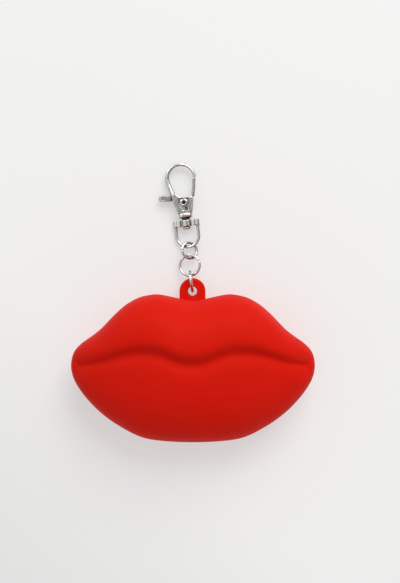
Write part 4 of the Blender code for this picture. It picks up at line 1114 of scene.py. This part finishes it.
def build_gate(material):
    """Build the gate: hub, wire arm and thumb lever with its pad."""
    half = GATE_HALF
    obj = prism("gate_cast", circle((0, 0), GATE_HUB_RADIUS, 48), -half, half)
    tip = Vector((GATE_TIP_X, HOOK_CENTRE - PIVOT_REACH - HOOK_TIP_GAP, 0))
    elbow = GATE_ELBOW
    path = [Vector((half, half * 2 / 3, 0)), elbow * 0.75]
    path += [elbow.lerp(tip, share) for share in (0.03, 0.16, 0.55)]
    path += [tip - tip.normalized() * half, tip]
    parts = [swept("arm", path, [(half, half - EDGE / 3)] * len(path), 24, UP)]
    turn = Matrix.Rotation(math.radians(LEVER_ANGLE), 4, "Z")
    outline = rectangle(0, LEVER_LENGTH, -LEVER_HALF_HEIGHT, LEVER_HALF_HEIGHT)
    lever = prism("lever", outline, EDGE / 2 - half, half - EDGE / 2)
    lever.data.transform(turn)
    parts.append(lever)
    high = LEVER_PAD_RADIUS
    outline = [(0, -high)] + arc((LEVER_PAD_LENGTH - high, 0), high, -90, 90, 20) + [(0, high)]
    pad = bake(add_bevel(prism("pad", outline, -LEVER_PAD_HALF, LEVER_PAD_HALF), EDGE, 50.0))
    for vertex in pad.data.vertices:
        wear_and_painted_shade = max(1 - (LEVER_PAD_LENGTH - vertex.co.x) / LEVER_TIP_REACH, 0)
        vertex.co.z *= 1 - LEVER_TIP_FALL_SHARE * wear_and_painted_shade ** 2
    bend = Matrix.Rotation(math.radians(LEVER_PAD_TURN), 4, "Z")
    pad.data.transform(turn @ Matrix.Translation((LEVER_PAD_START, 0, 0)) @ bend)
    parts.append(pad)
    combine(obj, parts, "UNION")
    bore = circle((0, 0), RIVET_RADIUS + RUNNING_CLEARANCE, 40)
    combine(obj, [prism("drill", bore, -2 * half, 2 * half)], "DIFFERENCE")
    cast(obj, *GATE_GRAIN)
    settle(obj, GATE_PIVOT, (0, 0, CHAIN_LEAN), "gate", "clasp_gate", material)


def build_rivet(material):
    """Build the tubular rivet with rolled flanges."""
    seat = CLASP_HALF - RIVET_HEAD_DEPTH
    roll = RIVET_HEAD_DEPTH
    floor = CLASP_HALF - RIVET_WELL_DEPTH
    side = [(RIVET_BORE_RADIUS / 3, floor), (RIVET_BORE_RADIUS, floor)]
    for inset, rise in RIVET_ROLL_SHARES:
        side.append((RIVET_HEAD_RADIUS - roll * inset, seat + roll * rise))
    side += [(RIVET_HEAD_RADIUS - roll * 0.05, seat), (RIVET_RADIUS, seat)]
    other = [(radius, -height) for radius, height in reversed(side)]
    rivet = turned("rivet_tube", side + other, 56)
    smooth_by_angle(rivet, 60.0)
    settle(rivet, GATE_PIVOT, (0, 0, CHAIN_LEAN), "clasp", "clasp_rivet", material)


def build_spring(material):
    """Build the gate's return spring."""
    path = []
    steps = 28
    count = SPRING_TURNS * steps
    for i in range(count + 1):
        angle = 2 * math.pi * i / steps
        rise = SPRING_TOP - SPRING_LENGTH * (1 - i / count)
        x = SPRING_X + SPRING_RADIUS * math.cos(angle)
        path.append(Vector((x, rise, SPRING_RADIUS * math.sin(angle))))
    halves = [(SPRING_WIRE, SPRING_WIRE)] * len(path)
    spring = swept("spring_wire", path, halves, 12, Vector((0, 1, 0)))
    lean = (0, 0, CHAIN_LEAN)
    settle(spring, SWIVEL, lean, "clasp", "gate_spring", material, "spring_steel")
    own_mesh(spring)


# Room


def build_floor():
    """Lay pale paper, with painted shade that dims it towards the near left corner."""
    square = rectangle(-FLOOR_HALF, FLOOR_HALF, -FLOOR_HALF, FLOOR_HALF)
    corners = [(x, y, FLOOR_LEVEL) for x, y in square]
    floor = new_object("pale_floor", corners, [(0, 1, 2, 3)], outward=False)
    paint = Paint("pale_paper")
    tone = paint.remap(paint.noise(6.0, 2.0))
    paper = paint.mix(tone, (0.945, 0.948, 0.945), (0.965, 0.965, 0.96))
    # Painted shade: the paper's colour and its glow both dim towards the near left corner
    reach = paint.math("DOT_PRODUCT", paint.place, PAPER_DIM_CORNER, "VectorMath")
    dim = paint.remap(reach, *PAPER_DIM_REACH, 1.0, PAPER_DIM_LEVEL)
    base = paint.mix(dim, (0.0, 0.0, 0.0), paper)
    normal = paint.bump(paint.noise(900.0), 0.05, 0.0001)
    paint.finished(Base_Color=base, Roughness=0.9, Specular_IOR_Level=0.2, Normal=normal)
    # Seen directly, the paper is part white of its own, so that the shadow stays light
    glow = paint.add("Emission", Color=(0.97, 0.972, 0.968), Strength=dim).outputs["Emission"]
    share = paint.math("MULTIPLY", paint.seen_directly(), PAPER_GLOW_SHARE)
    shown = paint.blend(share, paint.shader.outputs["BSDF"], glow)
    paint.fill(paint.nodes["Material Output"], Surface=shown)
    floor.data.materials.append(paint.material)


def stage_piece(name, vertices, faces, grey):
    """Add a card that only reflections see."""
    card = new_object(name, vertices, faces, outward=False)
    paint = Paint(name)
    tone = paint.remap(paint.noise(8.0, 2.0))
    base = paint.mix(tone, (grey, grey, grey), (grey * 1.1, grey * 1.1, grey * 1.08))
    card.data.materials.append(paint.finished(Base_Color=base, Roughness=0.9))
    card.visible_camera = False
    card.visible_diffuse = False
    card.visible_shadow = False


def build_cards():
    """Stand a dark flag round the object, low on the far left, and hang a grey card above."""
    low = []
    high = []
    for i in range(FLAG_STEPS):
        angle = 2 * math.pi * i / FLAG_STEPS
        x = FLAG_RADIUS * math.sin(angle)
        y = CAMERA_Y + FLAG_RADIUS * math.cos(angle)
        turn = angle - math.radians(FLAG_OPEN_ANGLE)
        rise = (FLAG_HIGH - FLAG_LOW) * (1 - math.cos(turn)) / 2
        low.append(Vector((x, y, 0)))
        high.append(Vector((x, y, FLAG_LOW + rise)))
    stage_piece("dark_flag", *loft([low, high], start_cap=False, end_cap=False), FLAG_GREY)
    corners = [(x, y, CARD_LEVEL) for x, y in rectangle(*CARD_EDGES)]
    stage_piece("grey_card", corners, [(0, 1, 2, 3)], CARD_GREY)


def build_world():
    """Light the room softly, and show it white where it is seen directly or in the metal."""
    world = bpy.data.worlds.new("studio")
    bpy.context.scene.world = world
    sky = Tree(world)
    sky.nodes.clear()
    place = sky.add("TexCoord").outputs["Generated"]
    ramp = sky.add("ValToRGB", Fac=sky.add("SeparateXYZ", Vector=place).outputs["Z"])
    stops = ramp.color_ramp.elements
    stops.new(SOFT_LEVELS[1][0])
    for stop, (height, level) in zip(stops, SOFT_LEVELS):
        stop.position = height
        stop.color = (level, level, level, 1)
    soft = sky.add("Background", Color=ramp.outputs["Color"]).outputs["Background"]
    white = sky.add("Background", Color=(1, 1, 1)).outputs["Background"]
    sky.add("OutputWorld", Surface=sky.blend(sky.seen_directly(), soft, white))


def add_area(name, place, target, size, power, colour=(1, 1, 1)):
    """Hang a square soft light that faces a point."""
    light = bpy.data.lights.new(name, "AREA")
    light.size = size
    light.energy = power
    light.color = colour
    obj = bpy.data.objects.new(name, light)
    obj.location = place
    direction = Vector(target) - Vector(place)
    obj.rotation_euler = direction.to_track_quat("-Z", "Y").to_euler()
    bpy.context.scene.collection.objects.link(obj)
    return obj


def build_camera():
    """Look straight down from where the photograph was taken."""
    data = bpy.data.cameras.new("camera")
    data.sensor_fit = "HORIZONTAL"
    data.sensor_width = SENSOR_WIDTH
    data.lens = FOCAL_PIXELS * SENSOR_WIDTH / IMAGE_WIDTH
    data.clip_start = 0.01
    data.clip_end = 10.0
    camera = bpy.data.objects.new("camera", data)
    camera.location = (CAMERA_X, CAMERA_Y, CAMERA_HEIGHT)
    bpy.context.scene.collection.objects.link(camera)
    bpy.context.scene.camera = camera


def main():
    """Build the room and every piece."""
    bpy.context.scene.view_settings.view_transform = "Standard"
    build_camera()
    build_world()
    build_floor()
    build_cards()
    add_area("key", KEY_PLACE, (0, 0, 0), KEY_SIZE, KEY_POWER, KEY_COLOUR)
    # The window shows in gloss only
    window = add_area("window", WINDOW_PLACE, WINDOW_TARGET, WINDOW_SIZE, WINDOW_POWER)
    window.visible_diffuse = False

    rubber = silicone()
    polished = nickel("polished_nickel")
    # Painted shade: the gate's nickel is a darker colour than the rest, standing for the shade on its
    # lever
    wear_and_painted_shade = nickel("shade_darkened_nickel", 0.18, 0.34, (0.5, 0.49, 0.46))
    satin = nickel("satin_nickel", 0.22, 0.36, (0.68, 0.67, 0.64), (1.0, 0.05, 1.0))
    steel = nickel("spring_wire_steel", 0.2, 0.3, (0.55, 0.55, 0.55))
    cloth = woven()
    coil = nylon()
    cotton = thread()

    lips = build_lips(rubber)
    for side, label in ((1, "upper"), (-1, "lower")):
        tape = build_tape(label, side, cloth)
        build_coil(label, side, coil)
    build_stitches(cotton)
    for name in ("zipper_slider", "zipper_pull"):
        dress_node(name, satin, SLIDER_EDGE)
    for name in ("zipper_top_stop_upper", "zipper_top_stop_lower", "zipper_bottom_stop"):
        dress_node(name, satin, STOP_EDGE)

    for link in LINKS:
        build_ring(link, polished)
    build_shackle(polished)
    build_clasp(polished)
    build_gate(wear_and_painted_shade)
    build_rivet(polished)
    build_spring(steel)


main()
